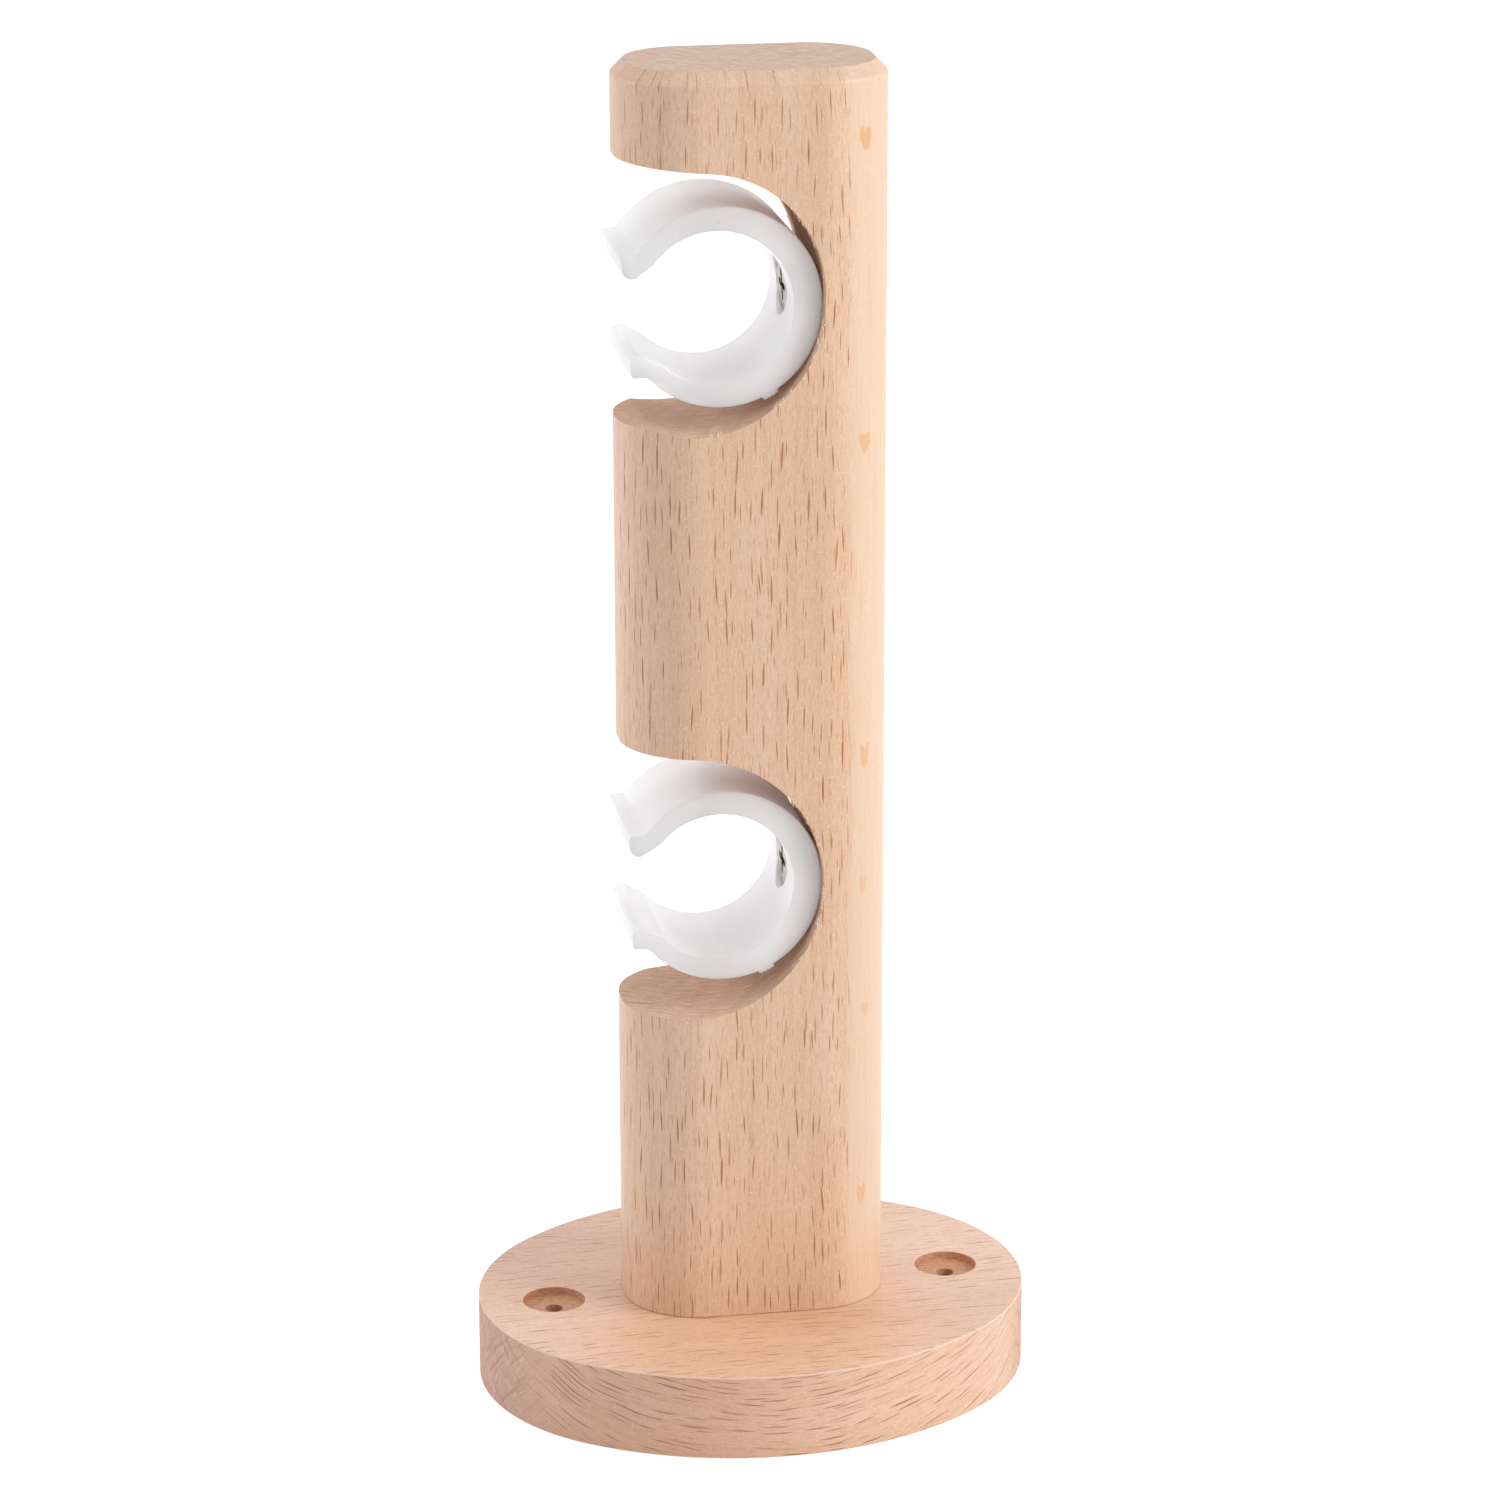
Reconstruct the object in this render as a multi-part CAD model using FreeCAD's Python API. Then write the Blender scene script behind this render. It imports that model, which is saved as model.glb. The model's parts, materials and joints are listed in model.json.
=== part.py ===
import FreeCAD, Part
import math
import os

# Double curtain pole bracket: an oval beech base for the wall, a beech post that
# stands out from it with two notches, and a snap-in plastic clip in each notch.
# Millimetres. The origin is the centre of the base's back face, +Z runs out from
# the wall along the post, and the poles lie along Y.

Vector = FreeCAD.Vector

# Base
base_length = 80.5
base_width = 67.5
base_thickness = 12.5
base_edge_chamfer = 0.25
base_turn = 2.9

# Holes for the two wall screws, on the base's long axis
wall_screw_spacing = 59.0
wall_hole_diameter = 2.6
wall_seat_diameter = 9.1
wall_seat_depth = 1.2
wall_seat_cone_depth = 0.25

# Post
bracket_height = 194.0
post_width = 38.0
post_depth = 24.0
post_corner_radius = 10.8
post_top_chamfer = 1.7

# Notches: place of the pole's centre, how far the notch's own centre is above it,
# radius of the round end, how far the mouth's two edges open, and how far the lower
# edge follows the round before it turns out. The upper notch is cut a little fuller
# where its end turns into its roof.
wood_behind_notch = 10.4
upper_pole_below_top = 32.6
upper_notch_rise = 0.6
upper_notch_radius = 18.35
upper_roof_radius = 17.1
upper_mouth_top_flare = 4.5
upper_mouth_bottom_flare = 2.0
upper_mouth_bottom_wrap = 20.0
lower_pole_height = 77.8
lower_notch_rise = 0.1
lower_notch_radius = 19.5
lower_mouth_top_flare = 1.0
lower_mouth_bottom_flare = 0.5
lower_mouth_bottom_wrap = 8.0

# Clips: a C ring with an off-centre bore, so that the wall is thickest at its screw
clip_outer_radius = 14.0
clip_bore_radius = 10.7
clip_bore_shift = 0.7
clip_length = 20.0
upper_clip_turn = 4.4
lower_clip_turn = 1.2

# Lips at the clip's mouth
lip_reach = 13.35
lip_root_angle = 38.0
lip_root_round = 0.8
lip_shoulder_height = 8.45
lip_shoulder_round = 0.6
mouth_gap = 10.6
nose_round = 1.35
lead_in_angle = 31.0
nib_round = 1.5

# Torn-off moulding gate on the outside of each clip, at its front end
gate_angle = -66.0
gate_width = 2.6
gate_height = 0.6
gate_length = 1.6

# Countersunk screw that holds a clip
clip_screw_head_diameter = 8.0
clip_screw_head_rim = 0.5
clip_screw_shank_diameter = 4.0
clip_screw_length = 12.0
clip_screw_below_bore = 0.05
clip_screw_recess_span = 4.8

# Countersunk screw that holds the post, driven from the base's back
post_screw_head_diameter = 10.0
post_screw_head_rim = 0.5
post_screw_shank_diameter = 5.0
post_screw_length = 45.0
post_screw_below_back = 0.4
post_screw_recess_span = 5.2

# Clearances and proportions shared by both screws
head_clearance = 0.2
shank_clearance = 0.15
point_length_ratio = 1.2
recess_slot_ratio = 0.22
recess_depth_ratio = 0.45
recess_floor_ratio = 0.4

# Places that follow from the sizes above
notch_end_x = post_width / 2 - wood_behind_notch
upper_pole_height = bracket_height - upper_pole_below_top
upper_notch = (notch_end_x - upper_notch_radius, upper_pole_height + upper_notch_rise)
lower_notch = (notch_end_x - lower_notch_radius, lower_pole_height + lower_notch_rise)
cut_margin = 5.0
cut_overlap = 0.01


def on_plane(point):
    """Put a point of a profile, across and up, into the XZ plane."""
    return Vector(point[0], 0, point[1])


def line(start, end):
    return Part.LineSegment(on_plane(start), on_plane(end)).toShape()


def arc(start, middle, end):
    return Part.Arc(on_plane(start), on_plane(middle), on_plane(end)).toShape()


def polar(centre, radius, degrees):
    angle = math.radians(degrees)
    return (centre[0] + radius * math.cos(angle), centre[1] + radius * math.sin(angle))


def along(point, direction, distance):
    return (point[0] + direction[0] * distance, point[1] + direction[1] * distance)


def unit(start, end):
    length = math.dist(start, end)
    return ((end[0] - start[0]) / length, (end[1] - start[1]) / length)


def bulge(centre, radius, start, end):
    """Middle of the shorter arc about a centre between two of its points."""
    first = unit(centre, start)
    last = unit(centre, end)
    middle = unit((0, 0), (first[0] + last[0], first[1] + last[1]))
    return along(centre, middle, radius)


def rounded_corner(before, corner, after, radius):
    """Start, middle and end of the arc that rounds a corner of two straight lines."""
    back = unit(corner, before)
    ahead = unit(corner, after)
    half_angle = math.acos(back[0] * ahead[0] + back[1] * ahead[1]) / 2
    inward = unit((0, 0), (back[0] + ahead[0], back[1] + ahead[1]))
    centre = along(corner, inward, radius / math.sin(half_angle))
    start = along(corner, back, radius / math.tan(half_angle))
    end = along(corner, ahead, radius / math.tan(half_angle))
    return start, bulge(centre, radius, start, end), end


def inner_corner(centre, circle_radius, start, end, radius):
    """Arc that fills the corner where a line leaves a circle's outside, as three points."""
    way = unit(start, end)
    out = (-way[1], way[0])
    if out[0] * (start[0] - centre[0]) + out[1] * (start[1] - centre[1]) < 0:
        out = (way[1], -way[0])
    lifted = along(start, out, radius)
    from_centre = (lifted[0] - centre[0], lifted[1] - centre[1])
    slope = from_centre[0] * way[0] + from_centre[1] * way[1]
    excess = math.hypot(*from_centre) ** 2 - (circle_radius + radius) ** 2
    middle = along(lifted, way, -slope + math.sqrt(slope ** 2 - excess))
    on_line = along(middle, out, -radius)
    on_circle = along(centre, unit(centre, middle), circle_radius)
    return on_circle, bulge(middle, radius, on_circle, on_line), on_line


def cylinder_up(diameter, height, x, y, z):
    return Part.makeCylinder(diameter / 2, height, Vector(x, y, z), Vector(0, 0, 1))


def rounded_section(width, depth, radius, z):
    """Closed outline of a bar's section with round corners, at height z."""
    x_flat = width / 2 - radius
    y_flat = depth / 2 - radius
    edges = []
    for x_side, y_side, first in ((1, 1, 0), (-1, 1, 90), (-1, -1, 180), (1, -1, 270)):
        centre = (x_side * x_flat, y_side * y_flat)
        points = [polar(centre, radius, first + step) for step in (0, 45, 90)]
        points = [Vector(x, y, z) for x, y in points]
        edges.append(Part.Arc(*points).toShape())
    corners = list(edges)
    for corner, following in zip(corners, corners[1:] + corners[:1]):
        start = corner.Vertexes[-1].Point
        end = following.Vertexes[0].Point
        edges.append(Part.LineSegment(start, end).toShape())
    return Part.Wire(Part.__sortEdges__(edges))


def countersunk_body(head_diameter, rim, shank_diameter, length):
    """Screw along +X without its recess, its flat face in the plane x = 0."""
    head_radius = head_diameter / 2
    shank_radius = shank_diameter / 2
    cone_end = rim + head_radius - shank_radius
    point_start = length - shank_diameter * point_length_ratio
    outline = [
        (0, 0),
        (0, head_radius),
        (rim, head_radius),
        (cone_end, shank_radius),
        (point_start, shank_radius),
        (length, 0),
        (0, 0),
    ]
    wire = Part.makePolygon([on_plane(point) for point in outline])
    return Part.Face(wire).revolve(Vector(0, 0, 0), Vector(1, 0, 0), 360)


def cross_recess(span):
    """Tapered cross cut into a screw's face, along +X."""
    slot = span * recess_slot_ratio
    depth = span * recess_depth_ratio
    slots = []
    for turn in (0, 90):
        outlines = []
        for x, share in ((-cut_overlap, 1.0), (depth, recess_floor_ratio)):
            half_span = span * share / 2
            half_slot = slot * (1 + share) / 4
            corners = ((half_span, half_slot), (-half_span, half_slot),
                       (-half_span, -half_slot), (half_span, -half_slot))
            points = [Vector(x, y, z) for y, z in corners]
            outlines.append(Part.makePolygon(points + points[:1]))
        wing = Part.makeLoft(outlines, True, True)
        wing.rotate(Vector(0, 0, 0), Vector(1, 0, 0), turn)
        slots.append(wing)
    return slots[0].fuse(slots[1])


def countersunk_screw(head_diameter, rim, shank_diameter, length, recess_span):
    body = countersunk_body(head_diameter, rim, shank_diameter, length)
    return body.cut(cross_recess(recess_span))


def head_seat(head_diameter, rim, shank_diameter, reach):
    """Countersink for a screw along +X: the head's recess, its cone and the shank's hole."""
    recess_radius = head_diameter / 2 + head_clearance
    hole_radius = shank_diameter / 2 + shank_clearance
    cone_end = rim + head_diameter / 2 - hole_radius
    outline = [
        (-cut_margin, 0),
        (-cut_margin, recess_radius),
        (rim - head_clearance, recess_radius),
        (cone_end, hole_radius),
        (reach, hole_radius),
        (reach, 0),
        (-cut_margin, 0),
    ]
    wire = Part.makePolygon([on_plane(point) for point in outline])
    return Part.Face(wire).revolve(Vector(0, 0, 0), Vector(1, 0, 0), 360)


def clip_screw():
    return countersunk_screw(clip_screw_head_diameter, clip_screw_head_rim,
                             clip_screw_shank_diameter, clip_screw_length,
                             clip_screw_recess_span)


def clip_screw_shank():
    return countersunk_body(clip_screw_head_diameter, clip_screw_head_rim,
                            clip_screw_shank_diameter, clip_screw_length)


def post_screw_up(shape):
    """Stand a screw made along +X on its axis along +Z, at its place in the base."""
    shape.rotate(Vector(0, 0, 0), Vector(0, 1, 0), -90)
    shape.translate(Vector(0, 0, post_screw_below_back))
    return shape


def into_clip(shape):
    """Move a screw or its seat from x = 0 to the clip's bore, in the clip's own frame."""
    shape.translate(Vector(clip_bore_radius - clip_bore_shift + clip_screw_below_bore, 0, 0))
    return shape


def clip_centre(notch, notch_radius, rise):
    """Ring centre at which the clip's outside just touches the notch's round end."""
    reach = math.sqrt((notch_radius - clip_outer_radius) ** 2 - rise ** 2)
    return (notch[0] + reach, notch[1] - rise)


def into_upper_notch(shape):
    """Move a shape from the clip's own frame to its place in the upper notch."""
    shape.rotate(Vector(0, 0, 0), Vector(0, 1, 0), -upper_clip_turn)
    shape.translate(on_plane(clip_centre(upper_notch, upper_notch_radius, upper_notch_rise)))
    return shape


def into_lower_notch(shape):
    """Move a shape from the clip's own frame to its place in the lower notch."""
    shape.rotate(Vector(0, 0, 0), Vector(0, 1, 0), -lower_clip_turn)
    shape.translate(on_plane(clip_centre(lower_notch, lower_notch_radius, lower_notch_rise)))
    return shape


def oval(length, width):
    """Closed oval of four tangent arcs, as drawn from four centres."""
    a = length / 2
    b = width / 2
    diagonal = math.hypot(a, b)
    end_radius = (diagonal - a + b) / 2 * diagonal / a
    joint_x = a - end_radius + end_radius * b / diagonal
    joint_y = end_radius * a / diagonal
    middles = [Vector(a, 0, 0), Vector(0, b, 0), Vector(-a, 0, 0), Vector(0, -b, 0)]
    joints = [Vector(x * joint_x, y * joint_y, 0) for x, y in ((1, -1), (1, 1), (-1, 1), (-1, -1))]
    arcs = [Part.Arc(start, middle, end).toShape()
            for start, middle, end in zip(joints, middles, joints[1:] + joints[:1])]
    return Part.Wire(arcs)


def base():
    board = Part.Face(oval(base_length, base_width)).extrude(Vector(0, 0, base_thickness))
    rims = [edge for edge in board.Edges if edge.BoundBox.ZLength < base_thickness / 2]
    board = board.makeChamfer(base_edge_chamfer, rims)
    for side in (-1, 1):
        x = side * wall_screw_spacing / 2
        seat_floor = base_thickness - wall_seat_depth
        seat = cylinder_up(wall_seat_diameter, wall_seat_depth + cut_margin, x, 0, seat_floor)
        cone = Part.makeCone(wall_hole_diameter / 2, wall_seat_diameter / 2,
                             wall_seat_cone_depth,
                             Vector(x, 0, seat_floor - wall_seat_cone_depth))
        hole = cylinder_up(wall_hole_diameter, base_thickness + 2 * cut_margin, x, 0, -cut_margin)
        board = board.cut(seat.fuse([cone, hole]))
    board.rotate(Vector(0, 0, 0), Vector(0, 0, 1), base_turn)
    seat = head_seat(post_screw_head_diameter, post_screw_head_rim,
                     post_screw_shank_diameter, base_thickness + cut_margin)
    return board.cut(post_screw_up(seat))


def notch_cutter(centre, radius, roof_radius, top_flare, bottom_flare, bottom_wrap):
    """Round-ended slot, open towards -X; a smaller roof radius makes its upper end fuller."""
    outside = -post_width / 2 - cut_margin
    inset = radius - roof_radius
    roof_centre = (centre[0] + inset, centre[1] + inset)
    end = polar(centre, radius, 0)
    roof_end = polar(roof_centre, roof_radius, 0)
    top_start = polar(roof_centre, roof_radius, 90 - top_flare)
    top_out = (outside, top_start[1] + (top_start[0] - outside) * math.tan(math.radians(top_flare)))
    bottom_start = polar(centre, radius, 270 + bottom_flare - bottom_wrap)
    drop = (bottom_start[0] - outside) * math.tan(math.radians(bottom_flare))
    bottom_out = (outside, bottom_start[1] - drop)
    edges = [
        arc(bottom_start, polar(centre, radius, -45), end),
        arc(roof_end, polar(roof_centre, roof_radius, 45), top_start),
        line(top_start, top_out),
        line(top_out, bottom_out),
        line(bottom_out, bottom_start),
    ]
    if inset > 0:
        edges.append(line(end, roof_end))
    face = Part.Face(Part.Wire(Part.__sortEdges__(edges)))
    cutter = face.extrude(Vector(0, post_depth + 2 * cut_margin, 0))
    cutter.translate(Vector(0, -post_depth / 2 - cut_margin, 0))
    return cutter


def post():
    shoulder = bracket_height - post_top_chamfer
    foot = rounded_section(post_width, post_depth, post_corner_radius, base_thickness)
    bar = Part.Face(foot).extrude(Vector(0, 0, shoulder - base_thickness))
    chamfer = Part.makeLoft([
        rounded_section(post_width, post_depth, post_corner_radius, shoulder),
        rounded_section(post_width - 2 * post_top_chamfer, post_depth - 2 * post_top_chamfer,
                        post_corner_radius - post_top_chamfer, bracket_height),
    ], True, True)
    bar = bar.fuse(chamfer).removeSplitter()
    bar = bar.cut(notch_cutter(upper_notch, upper_notch_radius, upper_roof_radius,
                               upper_mouth_top_flare, upper_mouth_bottom_flare,
                               upper_mouth_bottom_wrap))
    bar = bar.cut(notch_cutter(lower_notch, lower_notch_radius, lower_notch_radius,
                               lower_mouth_top_flare, lower_mouth_bottom_flare,
                               lower_mouth_bottom_wrap))
    bar = bar.cut(into_upper_notch(into_clip(clip_screw_shank())))
    bar = bar.cut(into_lower_notch(into_clip(clip_screw_shank())))
    pilot = countersunk_body(post_screw_head_diameter, post_screw_head_rim,
                             post_screw_shank_diameter, post_screw_length)
    return bar.cut(post_screw_up(pilot))


def lip_edges(side):
    """Edges of one lip from the outer ring to the bore, and its two end points."""
    nose = (-lip_reach + nose_round, mouth_gap / 2 + nose_round)
    lead = math.radians(lead_in_angle)
    lead_way = (math.cos(lead), math.sin(lead))
    into_lip = (-math.sin(lead), math.cos(lead))
    bore = (-clip_bore_shift, 0)
    root = polar((0, 0), clip_outer_radius, 180 - lip_root_angle)
    nose_top = (-lip_reach, nose[1])
    corner = (-lip_reach, lip_shoulder_height)
    shoulder = rounded_corner(root, corner, nose_top, lip_shoulder_round)
    valley = inner_corner((0, 0), clip_outer_radius, root, corner, lip_root_round)
    nose_end = along(nose, into_lip, -nose_round)
    nib_line = along(nose_end, into_lip, nib_round)
    ahead = (bore[0] - nib_line[0]) * lead_way[0] + (bore[1] - nib_line[1]) * lead_way[1]
    aside = math.dist(bore, nib_line) ** 2 - ahead ** 2
    reach = ahead - math.sqrt((clip_bore_radius + nib_round) ** 2 - aside)
    nib = along(nib_line, lead_way, reach)
    nib_start = along(nib, into_lip, -nib_round)
    nib_end = along(bore, unit(bore, nib), clip_bore_radius)

    def mirrored(point):
        return (point[0], side * point[1])

    points = [mirrored(point) for point in (*valley, *shoulder, nose_top,
                                            bulge(nose, nose_round, nose_top, nose_end),
                                            nose_end, nib_start,
                                            bulge(nib, nib_round, nib_start, nib_end), nib_end)]
    (start, valley_mid, valley_end, corner_in, corner_mid, corner_out, tip, tip_mid, tip_end,
     nib_in, nib_mid, nib_out) = points
    edges = [
        arc(start, valley_mid, valley_end),
        line(valley_end, corner_in),
        arc(corner_in, corner_mid, corner_out),
        line(corner_out, tip),
        arc(tip, tip_mid, tip_end),
        line(tip_end, nib_in),
        arc(nib_in, nib_mid, nib_out),
    ]
    return edges, start, nib_out


def clip():
    """Clip in its own frame: ring centre at the origin, mouth towards -X."""
    upper_edges, upper_root, upper_nib = lip_edges(1)
    lower_edges, lower_root, lower_nib = lip_edges(-1)
    outer = arc(lower_root, (clip_outer_radius, 0), upper_root)
    bore = arc(upper_nib, (clip_bore_radius - clip_bore_shift, 0), lower_nib)
    edges = Part.__sortEdges__([outer, bore] + upper_edges + lower_edges)
    ring = Part.Face(Part.Wire(edges)).extrude(Vector(0, clip_length, 0))
    ring.translate(Vector(0, -clip_length / 2, 0))
    gate = Part.makeBox(2 * gate_height, gate_length, gate_width,
                        Vector(clip_outer_radius - gate_height, -clip_length / 2, -gate_width / 2))
    gate.rotate(Vector(0, 0, 0), Vector(0, 1, 0), -gate_angle)
    ring = ring.fuse(gate)
    seat = head_seat(clip_screw_head_diameter, clip_screw_head_rim,
                     clip_screw_shank_diameter, clip_outer_radius)
    return ring.cut(into_clip(seat))


def post_screw():
    screw = countersunk_screw(post_screw_head_diameter, post_screw_head_rim,
                              post_screw_shank_diameter, post_screw_length,
                              post_screw_recess_span)
    return post_screw_up(screw)


pieces = {
    "base": base(),
    "post": post(),
    "post_screw": post_screw(),
    "upper_clip": into_upper_notch(clip()),
    "lower_clip": into_lower_notch(clip()),
    "upper_clip_screw": into_upper_notch(into_clip(clip_screw())),
    "lower_clip_screw": into_lower_notch(into_clip(clip_screw())),
}

os.makedirs("parts", exist_ok=True)
for name, shape in pieces.items():
    solid = shape.Solids[0]
    print(name, "valid", solid.isValid(), "volume", round(solid.Volume, 1))
    solid.exportStep("parts/" + name + ".step")
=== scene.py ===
"""A beech curtain pole bracket, dressed around its solid model.

Metres. The origin is the centre of the base's back face, +Z runs out from the wall
along the post, the poles lie along Y and the notches open towards -X.
"""

import json
from math import atan2, cos, hypot, pi, radians, sin, sqrt, tan

import bmesh
import bpy
from bpy.props import FloatProperty, FloatVectorProperty, IntProperty, PointerProperty
from mathutils import Matrix, Vector


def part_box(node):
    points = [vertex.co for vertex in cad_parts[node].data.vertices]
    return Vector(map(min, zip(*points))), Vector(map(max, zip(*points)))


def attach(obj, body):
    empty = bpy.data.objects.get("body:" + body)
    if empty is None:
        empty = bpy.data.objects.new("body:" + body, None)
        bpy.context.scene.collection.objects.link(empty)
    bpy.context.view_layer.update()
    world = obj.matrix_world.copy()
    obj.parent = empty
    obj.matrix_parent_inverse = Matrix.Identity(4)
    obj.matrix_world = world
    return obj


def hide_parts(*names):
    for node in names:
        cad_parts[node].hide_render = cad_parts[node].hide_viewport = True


bl_info = {
    "name": "Curtain Pole Bracket",
    "version": (1, 0, 0),
    "blender": (4, 5, 0),
    "location": "3D View > Sidebar > Bracket",
    "description": "Builds the visible pieces of a beech curtain pole bracket",
    "category": "Add Mesh",
}

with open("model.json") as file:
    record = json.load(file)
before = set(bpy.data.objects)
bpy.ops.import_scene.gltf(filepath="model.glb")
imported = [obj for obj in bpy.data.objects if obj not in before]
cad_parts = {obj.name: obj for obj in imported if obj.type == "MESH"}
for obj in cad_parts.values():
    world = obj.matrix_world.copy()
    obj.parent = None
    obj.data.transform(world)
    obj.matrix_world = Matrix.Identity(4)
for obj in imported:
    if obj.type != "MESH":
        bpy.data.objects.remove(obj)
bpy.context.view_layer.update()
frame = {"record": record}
MM = 0.001
BODY = "root"
OVERCUT = 5 * MM
SMOOTH_BELOW = radians(35)


def mount(name):
    """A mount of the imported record, by name."""
    return next(m for m in frame["record"]["mounts"] if m["name"] == name)


def mount_size(name, size):
    """A size of a mount, in metres."""
    return mount(name)["dims"][size] * MM


def box_size(node):
    """Length of a node's box along X, Y and Z."""
    low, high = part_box(node)
    return high - low


POST_LOW, POST_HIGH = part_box("post")
BASE_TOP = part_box("base")[1].z


def a_length(name, description, size):
    """A length that a user can change, with its default in millimetres."""
    return FloatProperty(name=name, description=description, default=size * MM, unit="LENGTH")


def an_angle(name, description, size):
    """An angle that a user can change, with its default in degrees."""
    return FloatProperty(name=name, description=description, default=radians(size),
                         subtype="ANGLE")


def a_colour(name, description, red, green, blue):
    """A colour that a user can change."""
    return FloatVectorProperty(name=name, description=description, subtype="COLOR", size=3,
                               min=0, max=1, default=(red, green, blue))


class BaseSizes(bpy.types.PropertyGroup):
    length: a_length("Length", "Long way across the oval base", 80.5)
    width: a_length("Width", "Short way across the oval base", 67.5)
    turn: an_angle("Turn", "Turn of the base against the post", 2.9)
    rim_round: a_length("Rim round", "Radius of the base's rims", 0.25)
    hole_edge: a_length("Hole edge", "Softened edge of the wall holes", 0.18)
    seat_radius: a_length("Seat radius", "Radius of a wall screw's seat", 4.55)
    seat_depth: a_length("Seat depth", "Depth of a wall screw's seat", 1.2)
    seat_cone: a_length("Seat cone", "Depth of the cone under the seat", 0.25)


class PostSizes(bpy.types.PropertyGroup):
    corner: a_length("Corner", "Radius of the post's long corners", 10.8)
    top_chamfer: a_length("Top chamfer", "Chamfer round the top end", 1.75)
    wood_behind: a_length("Wood behind", "Wood left behind each notch", 10.4)
    edge: a_length("Edge", "Softened edge of the notches and the foot", 0.22)


class NotchSizes(bpy.types.PropertyGroup):
    radius: a_length("Radius", "Radius of the notch's round end", 19.5)
    roof_radius: a_length("Roof radius", "Radius of the end's upper corner", 19.5)
    rise: a_length("Rise", "Height of the notch's centre above the clip's", 0.1)
    top_flare: an_angle("Top flare", "How far the upper edge opens", 1.0)
    bottom_flare: an_angle("Bottom flare", "How far the lower edge opens", 0.5)
    bottom_wrap: an_angle("Bottom wrap", "How far the lower edge follows the round end", 8.0)
    clip_turn: an_angle("Clip turn", "Turn of the clip in its notch", 1.2)


class ClipSizes(bpy.types.PropertyGroup):
    outer_radius: a_length("Outer radius", "Outside of the clip's ring", 14.0)
    bore_shift: a_length("Bore shift", "Bore's shift towards the mouth", 0.7)
    lip_reach: a_length("Lip reach", "Ring centre to the lips' ends", 13.35)
    lip_root: an_angle("Lip root", "Where the lips leave the ring", 38.0)
    root_round: a_length("Root round", "Radius where a lip leaves the ring", 0.8)
    shoulder_height: a_length("Shoulder", "Height of a lip's shoulder", 8.45)
    shoulder_round: a_length("Shoulder round", "Radius of that shoulder", 0.6)
    mouth_gap: a_length("Mouth gap", "Gap between the lips", 10.6)
    nose_round: a_length("Nose round", "Radius of a lip's nose", 1.35)
    lead_in: an_angle("Lead-in", "Slope of the way in past a lip", 31.0)
    nib_round: a_length("Nib round", "Radius from the lead-in to the bore", 1.5)
    edge: a_length("Edge", "Rounded edge of the clip's end faces", 0.22)
    gate_angle: an_angle("Gate angle", "Where the torn gate stub sits", -66.0)


class ScrewSizes(bpy.types.PropertyGroup):
    head_radius: a_length("Head radius", "Radius of the screw's head", 4.0)
    rim: a_length("Rim", "Height of the head's straight rim", 0.5)
    shank_radius: a_length("Shank radius", "Outer radius of the thread", 2.0)
    length: a_length("Length", "Length of the screw", 12.0)
    below_face: a_length("Below face", "Depth of the head under its face", 0.05)
    recess_span: a_length("Recess span", "Width of the cross recess", 4.8)
    thread_pitch: a_length("Pitch", "Pitch of the wood thread", 1.8)


class WoodColours(bpy.types.PropertyGroup):
    post: a_colour("Post", "Ground colour of the post", 0.775, 0.525, 0.365)
    base: a_colour("Base", "Ground colour of the base", 0.80, 0.555, 0.42)
    post_fleck: a_colour("Post fleck", "Ray flecks of the post", 0.38, 0.145, 0.05)
    base_fleck: a_colour("Base fleck", "Ray flecks of the base", 0.39, 0.17, 0.11)
    end_grain: a_colour("End grain", "Colour of the post's end", 0.62, 0.455, 0.36)
    cut: a_colour("Cut wood", "Colour inside the notches", 0.69, 0.455, 0.325)
    fibre_seed: IntProperty(name="Fibre seed", description="Seed of the torn fibres", default=7)


# Figure of the wood, in millimetres, with painted sheen in the pale band and painted shade in the
# holes
FLECK_LEAN = 0.10
FLECK_SOFTNESS = 0.04
BACK_SHIFT = 200.0
POST_SWAY = 2.4
BASE_SWAY = 3.0
# The pale band along the post's right corner is partly the wood's figure and partly painted sheen
# and light from the right lamp
BAND_FADES_IN = (11.4, 13.4)
BAND_FADES_OUT = (25.6, 22.4)
BAND_RAGGEDNESS = 3.0
BAND_MARK_AROUND = 15.1
MARK_COLOUR = (0.72, 0.40, 0.20)
# Tints inside the wall holes: darker drilled wood, partly painted shade in the holes
BORE_WOOD_AND_SHADE_TINTS = (0.80, 0.64, 0.51), (0.60, 0.43, 0.32)
FIBRE_COLOUR = (0.95, 0.80, 0.63, 1.0)
FIBRE_COUNT = 480
# Height, half width, half height and strength of each mark in the pale band
BAND_MARKS = ((184.1, 1.00, 1.60, 1.0), (141.5, 1.00, 1.40, 0.8), (95.9, 0.90, 1.90, 0.7),
              (76.8, 0.70, 1.40, 0.5), (57.8, 0.70, 1.10, 0.5), (29.3, 0.80, 1.70, 0.6))

# Light and camera: place, size, power and colour of each lamp
AMBIENT = 0.54
FLOOR_GLOW = 0.62
LAMPS = (
    ("right", (0.68, -0.43, 0.50), 0.45, 4.75, (1.0, 0.985, 0.97)),
    ("left", (-0.80, 0.29, 0.40), 0.45, 2.35, (0.94, 0.93, 1.0)),
    ("top", (0.0, 0.15, 1.0), 0.60, 1.6, (1.0, 0.98, 0.99)),
)
CAMERA_PLACE = (-0.11719, -0.68374, 0.31567)
CAMERA_HEADING = radians(-9.7255)
CAMERA_PITCH = radians(17.675)
CAMERA_ROLL = radians(-0.11)
CAMERA_LENS = 122.63
SENSOR_WIDTH = 36.0
FLOOR_COLOUR = (0.82, 0.82, 0.82, 1.0)
FLOOR_REACH = 6.0
FLOOR_HEIGHT = -0.05 * MM
LAMP_AIM = (0, 0, 0.09)
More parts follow.
